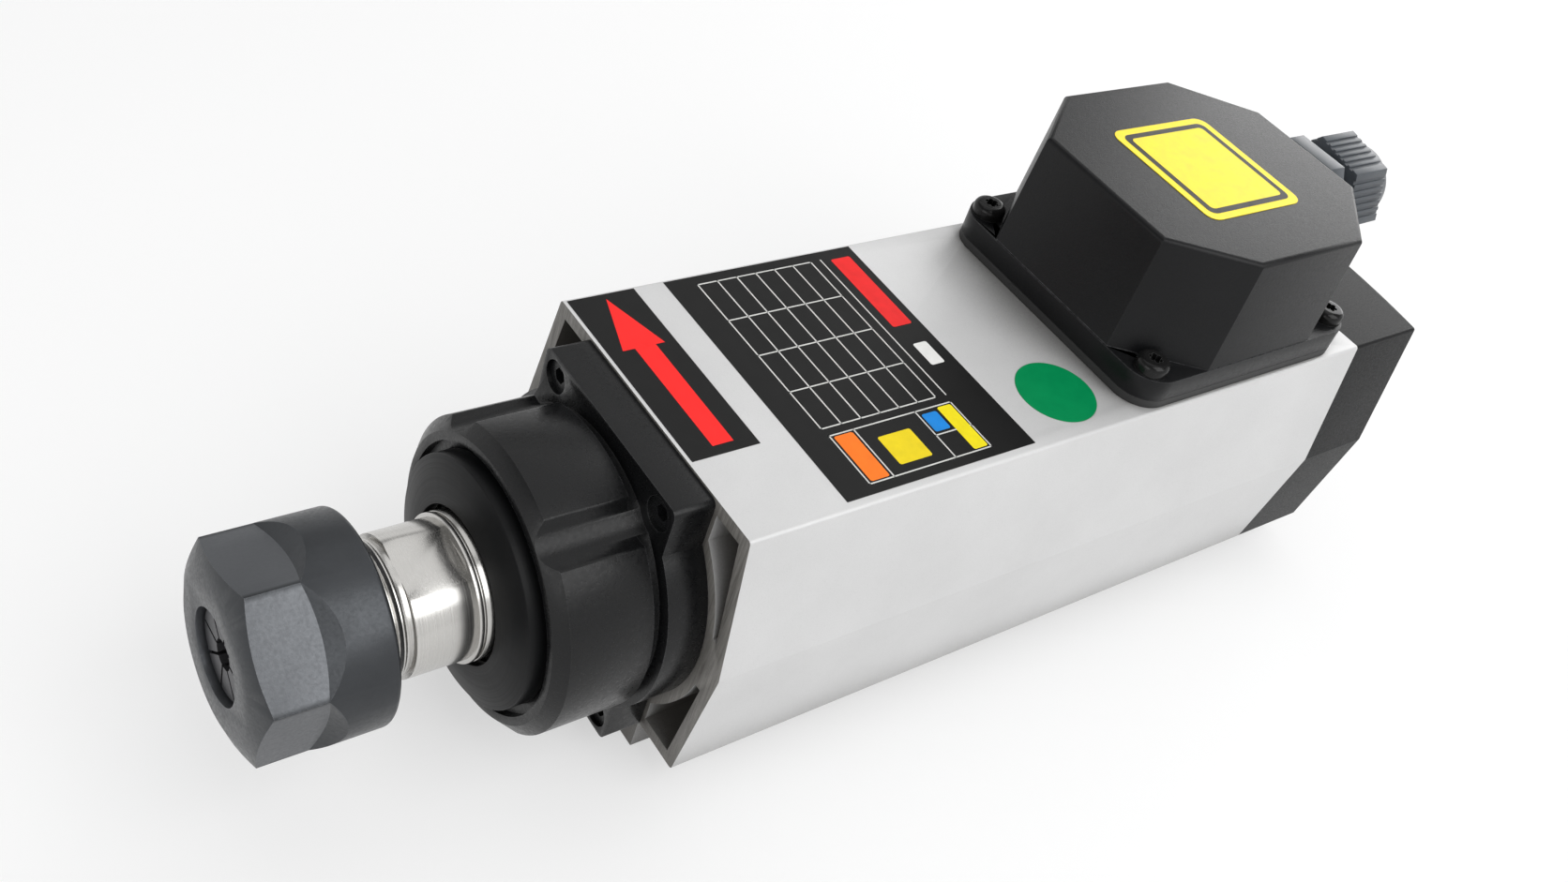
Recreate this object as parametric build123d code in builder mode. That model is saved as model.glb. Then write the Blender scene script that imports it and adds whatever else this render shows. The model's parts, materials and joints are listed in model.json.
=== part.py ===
from build123d import *
import math
import os

# Air-cooled motor spindle: an extruded housing with corner air ducts, a cast nose with
# an angular-contact bearing pair, a spring-collet chuck, a fan under the rear cover and
# a terminal box with a cable gland.
#
# Frame, millimetres: +X runs along the spindle towards the fan, the nose points along -X,
# +Z is up. The origin is the centre of the foot's resting face.

# ---------------------------------------------------------------- driving dimensions

# Fits, all radial
seat_gap = 0.02            # pressed and bolted seats
running_gap = 0.05         # threads that turn, tapers, balls in their races
free_gap = 0.4             # moving parts that never touch

# Housing extrusion
axis_height = 41.5         # foot face to spindle axis
body_length = 187.0
top_height = 34.5          # spindle axis to top face
top_width = 70.0
ridge_width = 80.0         # across the two side ridges, level with the axis
sole_width = 73.0
sole_drop = 33.0           # spindle axis to the underside
foot_width = 47.0
wall = 3.0
bore_radius = 31.0
tube_wall = 4.3            # wall of the tube around the bore
duct_spacing = 50.0        # between the inner sides of a left and a right duct
duct_web = 14.0            # solid band between an upper and a lower duct
body_edge_radius = 0.8
foot_tap_radius = 2.5      # M6 tapping size
foot_tap_depth = 11.0
foot_hole_pitch = 120.0
foot_hole_gauge = 30.0

# Screws, M4 throughout
screw_radius = 2.0
screw_hole_radius = 2.2
cap_head_radius = 3.5
cap_head_height = 4.0
head_recess = 1.0             # how far a screw's head lies below the face
hex_socket_width = 3.0
corner_screw_y = 19.4      # flange and cover screws, from the axis
corner_screw_z = 29.6
tie_screw_z = 27.5         # rear cover screws, from the axis
corner_thread_depth = 12.0
thread_runout = 2.0           # empty thread past a screw's end

# Nose casting
flange_thickness = 9.0
flange_width = 48.0
flange_height = 68.0
flange_radius = 33.0
flange_edge_radius = 1.6
nose_length = 31.5
nose_radius = 32.0
nose_chamfer_length = 2.3
nose_chamfer_height = 2.7
groove_width = 2.5
groove_radius = 30.0
flute_radius = 6.0
flute_edge_radius = 0.8
recess_radius = 27.5
recess_depth = 2.0
pilot_length = 12.0
seat_shoulder = 3.0

# Front bearing cap
cap_radius = 25.5
cap_rim = 4.4
cap_rise = 1.85
cap_bore_radius = 16.0
cap_lip = 2.75
cap_cavity_radius = 19.3
cap_thread_radius = 24.5
cap_spigot = 5.5

# Front bearings, a 25 x 47 x 12 pair
front_bearing_bore = 12.5
front_bearing_outer = 23.5
front_bearing_width = 12.0
front_ball_radius = 3.1
front_ball_count = 9
spacer_width = 3.0
locknut_width = 7.0
locknut_radius = 18.0

# Rear bearing, 15 x 35 x 11
rear_bearing_bore = 7.5
rear_bearing_outer = 17.5
rear_bearing_width = 11.0
rear_ball_radius = 2.9
rear_ball_count = 7
spring_width = 1.5

race_land = 3.4            # radial thickness of a bearing ring beside its groove
cage_wall = 1.4
cage_length = 8.0

# Shaft and what it carries
shaft_radius = 14.1
thread_radius = 13.5       # mean radius of the nose thread
flat_distance = 12.7       # axis to each spanner flat
flat_angle = 101.0
flat_length = 12.1
thread_showing = 6.0
thread_relief = 1.2
relief_depth = 0.6
slinger_showing = 2.45
slinger_radius = 14.9
slinger_disc_radius = 18.8
slinger_disc_width = 3.6
slinger_hub = 2.4             # radial thickness behind the disc
ridge_pitch = 1.5
ridge_length = 1.05
ridge_depth = 0.6
core_shaft_radius = 12.0
waist_radius = 9.5
tail_radius = 6.0

# Motor
core_length = 90.0
core_setback = 38.0        # housing front face to core
stator_bore = 20.0
rotor_gap = 0.4
slot_count = 18
slot_width = 3.6
slot_inner = 21.6
slot_outer = 27.6
winding_overhang = 14.0
winding_inner = 21.4
winding_outer = 29.4
winding_round = 2.5
end_ring_width = 7.0
end_ring_depth = 5.5

# Spring collet and its nut
nut_radius = 21.0
nut_length = 25.3
nut_edge_radius = 1.0
nut_face_radius = 15.0
nut_chamfer = 2.25
nut_opening = 9.25
nut_lip = 2.0
nut_cavity_radius = 11.6
nut_thread_setback = 8.6  # nut face to the start of its thread
hex_flat_distance = 18.2
hex_angle = 14.0
hex_length = 13.2
hex_cutter_radius = 41.5
collet_length = 31.5
collet_radius = 10.5
collet_face_radius = 8.6
collet_setback = 1.5
collet_cone_angle = 30.0
collet_taper_angle = 8.0
collet_groove_width = 2.2
collet_groove_radius = 9.2
collet_bore_radius = 3.0
collet_slots = 8
collet_slot_width = 0.6
collet_slot_length = 22.0   # length of each slot
shaft_nose_setback = 9.0
socket_depth = 40.0
socket_bore = 5.5

# Rear shield, fan and cover
shield_flange = 4.0
shield_pilot = 12.0
shield_rim = 3.0
shield_hub_radius = 21.5
shield_shoulder = 3.0
shield_shaft_hole = 9.0
fan_setback = 2.2          # shield face to fan
fan_radius = 27.0
fan_width = 12.0
fan_hub_radius = 9.0
fan_disc = 1.6
fan_blades = 9
fan_blade_thickness = 1.5
fan_blade_sweep = 30.0
clip_width = 1.2
clip_radius = 8.0
cover_depth = 29.0
cover_edge_depth = 24.5
cover_wall = 2.5
cover_edge_radius = 0.7
cover_post_radius = 4.6
cover_sink = 5.0
grille_radius = 26.0
grille_slot = 3.0
grille_pitch = 6.0
grille_rows = 4            # rows each side of the middle one

# Terminal box
box_setback = 105.0        # housing front face to box
box_length = 75.0
box_width = 68.0
box_height = 36.0
box_corner_radius = 8.0
box_lug_height = 5.5
box_draft = 1.5            # how far each wall leans in over its height
box_wall = 2.5
box_edge_radius = 1.2
gasket_height = 2.0
gasket_band = 9.0
octagon_front_half = 19.5
octagon_front_run = 19.5
octagon_rear_half = 16.5
octagon_rear_run = 18.5
box_screw_inset = 5.4
box_screw_thread = 3.0
pan_head_radius = 3.9
pan_head_height = 3.0
lobe_circle = 1.1           # six-lobe recess
lobe_radius = 0.55
lobe_core = 1.15
block_length = 46.0
block_width = 14.0
block_height = 11.0
block_rib = 1.6             # walls between the terminals
terminal_count = 3
terminal_pitch = 10.0
terminal_radius = 3.0
terminal_height = 2.4
block_screw_offset = 19.5
earth_screw_x = -22.0      # box centre to earth screw
earth_screw_y = -16.0
lead_hole_radius = 5.0
lead_hole_x = 4.0          # box centre to lead hole
lead_hole_y = -16.0
grommet_bore = 3.2
grommet_flange_radius = 7.0
grommet_flange = 1.5

# Cable gland, M20
gland_height = 22.0        # housing top face to gland axis
gland_boss_radius = 12.6
gland_boss_rise = 0.5
gland_boss_depth = 7.0      # tapped boss behind the wall
gland_washer = 1.5
gland_hex = 24.0           # across flats
gland_hex_width = 5.5
gland_inner_length = 9.0
gland_inner_radius = 10.0
gland_thread_radius = 9.5
gland_thread_length = 13.0
gland_thread_showing = 4.5
gland_bore = 6.6
gland_seal_seat = 8.2
gland_seal_depth = 9.0
gland_seal_bore = 5.5
gland_seal_flare = 1.2
gland_seal_lip = 4.0
gland_ring_width = 1.2
gland_ring_radius = 8.7
gland_ring_bore = 6.3
gland_nut_hex = 23.2
gland_nut_length = 20.0
gland_nut_hex_length = 14.0
gland_nut_chamfer = 1.0
gland_dome_radius = 10.4
gland_nut_hole = 6.5
gland_rib_width = 0.9
gland_rib_depth = 0.5
gland_ribs_per_flat = 6
gland_nut_angle = 10.0

# ---------------------------------------------------------------- derived places

front_x = -body_length / 2
rear_x = body_length / 2
body_top = axis_height + top_height

flange_front = front_x - flange_thickness
groove_front = flange_front - groove_width
nose_front = front_x - nose_length
recess_floor = nose_front + recess_depth
cap_front = recess_floor - cap_rim - cap_rise
cap_cavity_start = cap_front + cap_lip

bearing_1_x = recess_floor + cap_spigot
spacer_x = bearing_1_x + front_bearing_width
bearing_2_x = spacer_x + spacer_width
front_seat_end = bearing_2_x + front_bearing_width
locknut_end = front_seat_end + locknut_width
front_pilot_end = front_seat_end + seat_shoulder + pilot_length / 2

slinger_front = cap_front - slinger_showing
thread_rear = slinger_front - flat_length
nut_rear = thread_rear - thread_showing
nut_face = nut_rear - nut_length
shaft_nose = nut_face + shaft_nose_setback
collet_front = nut_face + collet_setback

core_front = front_x + core_setback
core_rear = core_front + core_length
rotor_radius = stator_bore - rotor_gap

spring_x = rear_x - shield_shoulder - spring_width
rear_bearing_x = spring_x - rear_bearing_width
fan_x = rear_x + shield_flange + fan_setback
fan_rear = fan_x + fan_width

box_front = front_x + box_setback
box_rear = box_front + box_length
box_x = (box_front + box_rear) / 2
gasket_top = body_top + gasket_height
lug_top = gasket_top + box_lug_height
box_top = body_top + box_height
draft_angle = math.degrees(math.atan(box_draft / (box_top - gasket_top)))
box_screw_pitch_x = box_length - 2 * box_screw_inset
box_screw_pitch_y = box_width - 2 * box_screw_inset

gland_z = body_top + gland_height
gland_x = box_rear + gland_boss_rise
gland_hex_x = gland_x + gland_washer
gland_thread_x = gland_hex_x + gland_hex_width
gland_thread_end = gland_thread_x + gland_thread_length
gland_nut_x = gland_thread_x + gland_thread_showing
gland_seal_x = gland_thread_end - gland_seal_depth
gland_seal_end = gland_thread_end + gland_seal_lip
gland_ring_x = gland_seal_end + free_gap
gland_ring_end = gland_ring_x + gland_ring_width

spindle_line = Axis((0, 0, axis_height), (1, 0, 0))


# ---------------------------------------------------------------- shared forms

def across(x, height=axis_height, facing=1, turn=0.0):
    """Plane square to the spindle at x: its own x runs along +Y, turned by that many degrees."""
    angle = math.radians(turn)
    sideways = (0, facing * math.cos(angle), math.sin(angle))
    return Plane(origin=(x, 0, height), x_dir=sideways, z_dir=(facing, 0, 0))


def turned(outline, height=axis_height, mode=Mode.ADD):
    """Revolve a closed outline of (x, radius) points about the axis at that height."""
    with BuildSketch(Plane((0, 0, height), x_dir=(1, 0, 0), z_dir=(0, -1, 0))) as profile:
        with BuildLine():
            Polyline(*outline, close=True)
        make_face()
    revolve(profile.sketch, axis=Axis((0, 0, height), (1, 0, 0)), mode=mode)


def ring(start, end, inner, outer, height=axis_height):
    """Plain turned ring."""
    turned([(start, inner), (end, inner), (end, outer), (start, outer)], height)


def housing_outline(inset=0.0):
    """Flat outline of the housing without its foot, centred on the spindle axis."""
    with BuildSketch(mode=Mode.PRIVATE) as outline:
        with BuildLine():
            Polyline(
                (top_width / 2, top_height), (ridge_width / 2, 0), (sole_width / 2, -sole_drop),
                (-sole_width / 2, -sole_drop), (-ridge_width / 2, 0), (-top_width / 2, top_height),
                close=True,
            )
        make_face()
        if inset:
            offset(amount=-inset, kind=Kind.INTERSECTION)
        else:
            fillet(outline.vertices(), body_edge_radius)
    return outline.sketch_local


def flange_section(plane, inner):
    """End flange: an upright bar with the four screw lugs, joined to a disc."""
    with BuildSketch(plane) as section:
        RectangleRounded(flange_width, flange_height, flange_edge_radius)
        Circle(flange_radius)
        Circle(inner, mode=Mode.SUBTRACT)
    return section.sketch


def corner_circles(plane, radius, level=corner_screw_z):
    """The four corner screw positions as circles."""
    with BuildSketch(plane) as section:
        with GridLocations(2 * corner_screw_y, 2 * level, 2, 2):
            Circle(radius)
    return section.sketch


def box_octagon(plane, inset=0.0):
    """Plan of the terminal box at its base, with straight front, side and rear edges."""
    half = box_width / 2
    with BuildSketch(plane) as section:
        with BuildLine():
            Polyline(
                (box_front, octagon_front_half), (box_front, -octagon_front_half),
                (box_front + octagon_front_run, -half), (box_rear - octagon_rear_run, -half),
                (box_rear, -octagon_rear_half), (box_rear, octagon_rear_half),
                (box_rear - octagon_rear_run, half), (box_front + octagon_front_run, half),
                close=True,
            )
        make_face()
        if inset:
            offset(amount=-inset, kind=Kind.INTERSECTION)
    return section.sketch


def save(piece, name):
    """Label a finished piece and write its STEP file."""
    piece.part.label = name
    export_step(piece.part, f"parts/{name}.step")


os.makedirs("parts", exist_ok=True)

# ---------------------------------------------------------------- housing extrusion

tube_radius = bore_radius + tube_wall
with BuildPart() as body_extrusion:
    with BuildSketch(across(front_x)):
        add(housing_outline())
    extrude(amount=body_length)
    with BuildSketch(Plane.XY) as foot:
        Rectangle(body_length, foot_width)
    extrude(amount=axis_height - sole_drop)
    with BuildSketch(across(front_x)) as ducts:
        add(housing_outline(wall))
        Circle(tube_radius, mode=Mode.SUBTRACT)
        Rectangle(duct_spacing, 2 * ridge_width, mode=Mode.SUBTRACT)
        Rectangle(2 * ridge_width, duct_web, mode=Mode.SUBTRACT)
    extrude(amount=body_length, mode=Mode.SUBTRACT)
    with BuildSketch(across(front_x)):
        Circle(bore_radius)
    extrude(amount=body_length, mode=Mode.SUBTRACT)
    extrude(corner_circles(across(front_x), screw_radius + running_gap),
            amount=corner_thread_depth, mode=Mode.SUBTRACT)
    extrude(corner_circles(across(rear_x), screw_radius + running_gap, tie_screw_z),
            amount=-corner_thread_depth, mode=Mode.SUBTRACT)
    with BuildSketch(Plane.XY):
        with GridLocations(foot_hole_pitch, foot_hole_gauge, 2, 2):
            Circle(foot_tap_radius)
    extrude(amount=foot_tap_depth, mode=Mode.SUBTRACT)
    with BuildSketch(Plane.XY.offset(body_top)):
        with Locations((box_x, 0)):
            with GridLocations(box_screw_pitch_x, box_screw_pitch_y, 2, 2):
                Circle(screw_radius + running_gap)
    extrude(amount=-wall, mode=Mode.SUBTRACT)
    with BuildSketch(Plane.XY.offset(body_top)):
        with Locations((box_x + lead_hole_x, lead_hole_y)):
            Circle(lead_hole_radius)
    extrude(amount=-(top_height - bore_radius / 2), mode=Mode.SUBTRACT)
    with BuildSketch(Plane.XY.offset(body_top)):
        with Locations((box_x, 0)):
            with GridLocations(2 * block_screw_offset, 0, 2, 1):
                Circle(screw_radius + running_gap)
        with Locations((box_x + earth_screw_x, earth_screw_y)):
            Circle(screw_radius + running_gap)
    extrude(amount=-wall, mode=Mode.SUBTRACT)
save(body_extrusion, "body_extrusion")

# ---------------------------------------------------------------- nose casting

with BuildPart() as front_housing:
    extrude(flange_section(across(front_x), groove_radius), amount=-flange_thickness)
    turned([
        (nose_front, recess_radius),
        (nose_front, nose_radius - nose_chamfer_height),
        (nose_front + nose_chamfer_length, nose_radius),
        (groove_front, nose_radius),
        (groove_front, groove_radius),
        (front_x, groove_radius),
        (front_x, bore_radius - seat_gap),
        (front_pilot_end, bore_radius - seat_gap),
        (front_pilot_end, front_bearing_outer - race_land),
        (front_seat_end, front_bearing_outer - race_land),
        (front_seat_end, front_bearing_outer + seat_gap),
        (bearing_1_x, front_bearing_outer + seat_gap),
        (bearing_1_x, cap_thread_radius + seat_gap),
        (recess_floor, cap_thread_radius + seat_gap),
        (recess_floor, recess_radius),
    ])
    extrude(corner_circles(across(nose_front), flute_radius),
            amount=flange_front - nose_front, mode=Mode.SUBTRACT)
    flute_edges = front_housing.edges().filter_by(Axis.X).filter_by(
        lambda edge: nose_front < edge.center().X < groove_front)
    fillet(flute_edges, flute_edge_radius)
    with Locations(across(flange_front, facing=-1)):
        with GridLocations(2 * corner_screw_y, 2 * corner_screw_z, 2, 2):
            CounterBoreHole(screw_hole_radius, cap_head_radius + seat_gap, cap_head_height + head_recess)
save(front_housing, "front_housing")

with BuildPart() as front_flange_screws:
    head_seat = flange_front + cap_head_height + head_recess
    extrude(corner_circles(across(head_seat), cap_head_radius), amount=-cap_head_height)
    extrude(corner_circles(across(head_seat), screw_radius),
            amount=front_x + corner_thread_depth - thread_runout - head_seat)
    with BuildSketch(across(head_seat - cap_head_height)):
        with GridLocations(2 * corner_screw_y, 2 * corner_screw_z, 2, 2):
            RegularPolygon(hex_socket_width / 2, 6, major_radius=False)
    extrude(amount=cap_head_height / 2, mode=Mode.SUBTRACT)
save(front_flange_screws, "front_flange_screws")

with BuildPart() as front_bearing_cap:
    turned([
        (recess_floor, cap_radius),
        (recess_floor - cap_rim, cap_radius),
        (cap_front, cap_bore_radius),
        (cap_cavity_start, cap_bore_radius),
        (cap_cavity_start, cap_cavity_radius),
        (bearing_1_x, cap_cavity_radius),
        (bearing_1_x, cap_thread_radius),
        (recess_floor, cap_thread_radius),
    ])
save(front_bearing_cap, "front_bearing_cap")

# ---------------------------------------------------------------- bearings


def make_bearing(prefix, start, bore, outer, width, ball_radius, ball_count):
    """Ball bearing: outer race, inner race, cage and balls, each its own node."""
    middle = start + width / 2
    pitch_radius = (bore + outer) / 2
    groove = ball_radius + running_gap

    with BuildPart() as outer_race:
        ring(start, start + width, outer - race_land, outer)
        with BuildSketch(Plane((0, 0, axis_height), x_dir=(1, 0, 0), z_dir=(0, -1, 0))) as track:
            with Locations((middle, pitch_radius)):
                Circle(groove)
        revolve(track.sketch, axis=spindle_line, mode=Mode.SUBTRACT)
    save(outer_race, f"{prefix}_outer_race")

    with BuildPart() as inner_race:
        ring(start, start + width, bore + seat_gap, bore + race_land)
        revolve(track.sketch, axis=spindle_line, mode=Mode.SUBTRACT)
    save(inner_race, f"{prefix}_inner_race")

    with BuildPart() as cage:
        ring(middle - cage_length / 2, middle + cage_length / 2,
             pitch_radius - cage_wall / 2, pitch_radius + cage_wall / 2)
        for pocket in range(ball_count):
            turn = 2 * math.pi * pocket / ball_count
            outward = (0, math.cos(turn), math.sin(turn))
            with BuildSketch(Plane((middle, 0, axis_height), x_dir=(1, 0, 0), z_dir=outward)):
                Circle(groove)
            extrude(amount=outer, mode=Mode.SUBTRACT)
    save(cage, f"{prefix}_cage")

    with BuildPart() as balls:
        with Locations(across(middle)):
            with PolarLocations(pitch_radius, ball_count):
                Sphere(ball_radius)
    save(balls, f"{prefix}_balls")


make_bearing("front_bearing_a", bearing_1_x, front_bearing_bore, front_bearing_outer,
             front_bearing_width, front_ball_radius, front_ball_count)
make_bearing("front_bearing_b", bearing_2_x, front_bearing_bore, front_bearing_outer,
             front_bearing_width, front_ball_radius, front_ball_count)
make_bearing("rear_bearing", rear_bearing_x, rear_bearing_bore, rear_bearing_outer,
             rear_bearing_width, rear_ball_radius, rear_ball_count)

with BuildPart() as outer_spacer:
    ring(spacer_x, bearing_2_x, front_bearing_outer - race_land, front_bearing_outer)
save(outer_spacer, "outer_spacer")

with BuildPart() as inner_spacer:
    ring(spacer_x, bearing_2_x, front_bearing_bore + seat_gap, front_bearing_bore + race_land)
save(inner_spacer, "inner_spacer")

with BuildPart() as bearing_locknut:
    ring(front_seat_end, locknut_end, front_bearing_bore + seat_gap, locknut_radius)
    with BuildSketch(across(front_seat_end)):
        with PolarLocations(locknut_radius, 4):
            Rectangle(locknut_radius / 4, locknut_radius / 4)
    extrude(amount=locknut_width, mode=Mode.SUBTRACT)
save(bearing_locknut, "bearing_locknut")

with BuildPart() as preload_spring:
    ring(spring_x, spring_x + spring_width, rear_bearing_outer - race_land + seat_gap,
         rear_bearing_outer - seat_gap)
save(preload_spring, "preload_spring")

# ---------------------------------------------------------------- spindle shaft

collet_cone_length = (collet_radius - collet_face_radius) / math.tan(math.radians(collet_cone_angle))
collet_groove_x = collet_front + collet_cone_length + 1
collet_taper_x = collet_groove_x + collet_groove_width
collet_rear = collet_front + collet_length
taper_slope = math.tan(math.radians(collet_taper_angle))
collet_tail_radius = collet_radius - (collet_rear - collet_taper_x) * taper_slope


def socket_radius(x):
    """Radius of the shaft's taper socket at x, one running gap outside the collet."""
    return collet_radius - (x - collet_taper_x) * taper_slope + running_gap


with BuildPart() as spindle_shaft:
    turned([
        (shaft_nose, socket_radius(shaft_nose)),
        (shaft_nose, thread_radius),
        (thread_rear - thread_relief, thread_radius),
        (thread_rear - thread_relief, thread_radius - relief_depth),
        (thread_rear, thread_radius - relief_depth),
        (thread_rear, shaft_radius),
        (slinger_front, shaft_radius),
        (slinger_front, front_bearing_bore),
        (locknut_end, front_bearing_bore),
        (locknut_end, core_shaft_radius),
        (core_rear + end_ring_width, core_shaft_radius),
        (core_rear + end_ring_width, waist_radius),
        (rear_bearing_x, waist_radius),
        (rear_bearing_x, rear_bearing_bore),
        (fan_x, rear_bearing_bore),
        (fan_x, tail_radius),
        (fan_rear + 2 * clip_width, tail_radius),
        (fan_rear + 2 * clip_width, 0),
        (shaft_nose + socket_depth, 0),
        (shaft_nose + socket_depth, socket_bore),
        (collet_rear + 2, socket_bore),
        (collet_rear + 2, socket_radius(collet_rear)),
        (collet_rear, socket_radius(collet_rear)),
    ])
    flat_cutter = 2 * shaft_radius
    for side in (0, 180):
        with BuildSketch(across(thread_rear, turn=flat_angle + side)):
            with Locations((flat_distance + flat_cutter / 2, 0)):
                Rectangle(flat_cutter, flat_cutter)
        extrude(amount=flat_length, mode=Mode.SUBTRACT)
save(spindle_shaft, "spindle_shaft")

with BuildPart() as slinger_ring:
    disc_x = cap_cavity_start + free_gap
    turned([
        (slinger_front, front_bearing_bore + seat_gap),
        (slinger_front, slinger_radius),
        (slinger_front + ridge_length, slinger_radius),
        (slinger_front + ridge_length, slinger_radius - ridge_depth),
        (slinger_front + ridge_pitch, slinger_radius - ridge_depth),
        (slinger_front + ridge_pitch, slinger_radius),
        (disc_x, slinger_radius),
        (disc_x, slinger_disc_radius),
        (disc_x + slinger_disc_width, slinger_disc_radius),
        (disc_x + slinger_disc_width, front_bearing_bore + slinger_hub),
        (bearing_1_x, front_bearing_bore + slinger_hub),
        (bearing_1_x, front_bearing_bore + seat_gap),
    ])
save(slinger_ring, "slinger_ring")

# ---------------------------------------------------------------- motor

slot_middle = (slot_inner + slot_outer) / 2
slot_depth = slot_outer - slot_inner
with BuildPart() as stator_core:
    ring(core_front, core_rear, stator_bore, bore_radius - seat_gap)
    with BuildSketch(across(core_front)):
        with PolarLocations(slot_middle, slot_count):
            Rectangle(slot_depth, slot_width)
    extrude(amount=core_length, mode=Mode.SUBTRACT)
save(stator_core, "stator_core")

with BuildPart() as stator_windings:
    ring(core_front - winding_overhang, core_front - running_gap, winding_inner, winding_outer)
    ring(core_rear + running_gap, core_rear + winding_overhang, winding_inner, winding_outer)
    fillet(stator_windings.edges().filter_by(GeomType.CIRCLE).group_by(Axis.X)[0], winding_round)
    fillet(stator_windings.edges().filter_by(GeomType.CIRCLE).group_by(Axis.X)[-1], winding_round)
    with BuildSketch(across(core_front - running_gap)):
        with PolarLocations(slot_middle, slot_count):
            Rectangle(slot_depth - 2 * running_gap, slot_width - 2 * running_gap)
    extrude(amount=core_length + 2 * running_gap)
save(stator_windings, "stator_windings")

with BuildPart() as rotor_core:
    ring(core_front, core_rear, core_shaft_radius + seat_gap, rotor_radius)
save(rotor_core, "rotor_core")

with BuildPart() as rotor_end_rings:
    ring(core_front - end_ring_width, core_front, rotor_radius - end_ring_depth, rotor_radius)
    ring(core_rear, core_rear + end_ring_width, rotor_radius - end_ring_depth, rotor_radius)
save(rotor_end_rings, "rotor_end_rings")

# ---------------------------------------------------------------- collet chuck

with BuildPart() as collet:
    turned([
        (collet_front, collet_bore_radius),
        (collet_front, collet_face_radius),
        (collet_front + collet_cone_length, collet_radius),
        (collet_groove_x, collet_radius),
        (collet_groove_x, collet_groove_radius),
        (collet_taper_x, collet_groove_radius),
        (collet_taper_x, collet_radius),
        (collet_rear, collet_tail_radius),
        (collet_rear, collet_bore_radius),
    ])
    half_step = 180 / collet_slots
    for start, turn in ((collet_front, 0), (collet_rear - collet_slot_length, half_step)):
        with BuildSketch(across(start, turn=turn)):
            with PolarLocations(collet_radius + collet_bore_radius / 2, collet_slots):
                Rectangle(2 * collet_radius, collet_slot_width)
        extrude(amount=collet_slot_length, mode=Mode.SUBTRACT)
save(collet, "collet")

with BuildPart() as collet_nut:
    turned([
        (nut_face, nut_opening),
        (nut_face, nut_face_radius),
        (nut_face + nut_chamfer, nut_radius),
        (nut_rear, nut_radius),
        (nut_rear, thread_radius + running_gap),
        (nut_face + nut_thread_setback, thread_radius + running_gap),
        (nut_face + nut_thread_setback, nut_cavity_radius),
        (nut_face + nut_lip, nut_cavity_radius),
        (nut_face + nut_lip, nut_opening),
    ])
    fillet(collet_nut.edges().filter_by(GeomType.CIRCLE).group_by(Axis.X)[-1].sort_by(
        SortBy.RADIUS)[-1], nut_edge_radius)
    hex_cutter_height = nut_radius - hex_flat_distance + 1
    for corner in range(6):
        turn = math.radians(hex_angle + 60 * corner)
        normal = Vector(0, math.cos(turn), math.sin(turn))
        foot_point = Vector(nut_face + hex_length - hex_cutter_radius, 0, axis_height)
        with BuildSketch(Plane(foot_point + normal * hex_flat_distance, x_dir=(1, 0, 0), z_dir=normal)):
            Circle(hex_cutter_radius)
        extrude(amount=hex_cutter_height, taper=-45, mode=Mode.SUBTRACT)
save(collet_nut, "collet_nut")

with BuildPart() as collet_extractor_ring:
    ring_front = nut_face + nut_lip
    ring_rear = collet_taper_x - 2 * running_gap
    cone_gap = 2 * running_gap
    cone_end = collet_front + collet_cone_length
    turned([
        (ring_front, collet_radius - (cone_end - ring_front) / collet_cone_length
         * (collet_radius - collet_face_radius) + cone_gap),
        (cone_end, collet_radius + cone_gap),
        (collet_groove_x + cone_gap, collet_radius + cone_gap),
        (collet_groove_x + cone_gap, collet_groove_radius + cone_gap),
        (ring_rear, collet_groove_radius + cone_gap),
        (ring_rear, nut_cavity_radius - seat_gap),
        (ring_front, nut_cavity_radius - seat_gap),
    ])
save(collet_extractor_ring, "collet_extractor_ring")

# ---------------------------------------------------------------- rear end

with BuildPart() as rear_shield:
    extrude(flange_section(across(rear_x), shield_hub_radius), amount=shield_flange)
    with BuildSketch(across(rear_x)):
        add(housing_outline(cover_wall + free_gap))
    extrude(amount=shield_flange, mode=Mode.INTERSECT)
    turned([
        (rear_x - shield_pilot, bore_radius - shield_rim),
        (rear_x - shield_pilot, bore_radius - seat_gap),
        (rear_x, bore_radius - seat_gap),
        (rear_x, flange_radius - shield_rim),
        (rear_x + shield_flange, flange_radius - shield_rim),
        (rear_x + shield_flange, shield_shaft_hole),
        (rear_x - shield_shoulder, shield_shaft_hole),
        (rear_x - shield_shoulder, rear_bearing_outer + seat_gap),
        (rear_bearing_x, rear_bearing_outer + seat_gap),
        (rear_bearing_x, shield_hub_radius),
        (rear_x, shield_hub_radius),
        (rear_x, bore_radius - shield_rim),
    ])
    extrude(corner_circles(across(rear_x), screw_hole_radius, tie_screw_z), amount=shield_flange,
            mode=Mode.SUBTRACT)
save(rear_shield, "rear_shield")

with BuildPart() as cooling_fan:
    ring(fan_x, fan_rear, tail_radius + seat_gap, fan_hub_radius)
    ring(fan_x, fan_x + fan_disc, fan_hub_radius, fan_radius)
    sweep_turn = math.radians(fan_blade_sweep)
    with BuildSketch(mode=Mode.PRIVATE) as blade:
        with BuildLine():
            ThreePointArc(
                (fan_hub_radius - 1, 0),
                ((fan_hub_radius + fan_radius) / 2 * math.cos(sweep_turn / 4),
                 (fan_hub_radius + fan_radius) / 2 * math.sin(sweep_turn / 4)),
                ((fan_radius - 1) * math.cos(sweep_turn), (fan_radius - 1) * math.sin(sweep_turn)),
            )
        trace(line_width=fan_blade_thickness)
    with BuildSketch(across(fan_x)):
        with PolarLocations(0, fan_blades):
            add(blade.sketch_local)
        Circle(tail_radius + 1, mode=Mode.SUBTRACT)
    extrude(amount=fan_width)
save(cooling_fan, "cooling_fan")

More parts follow.
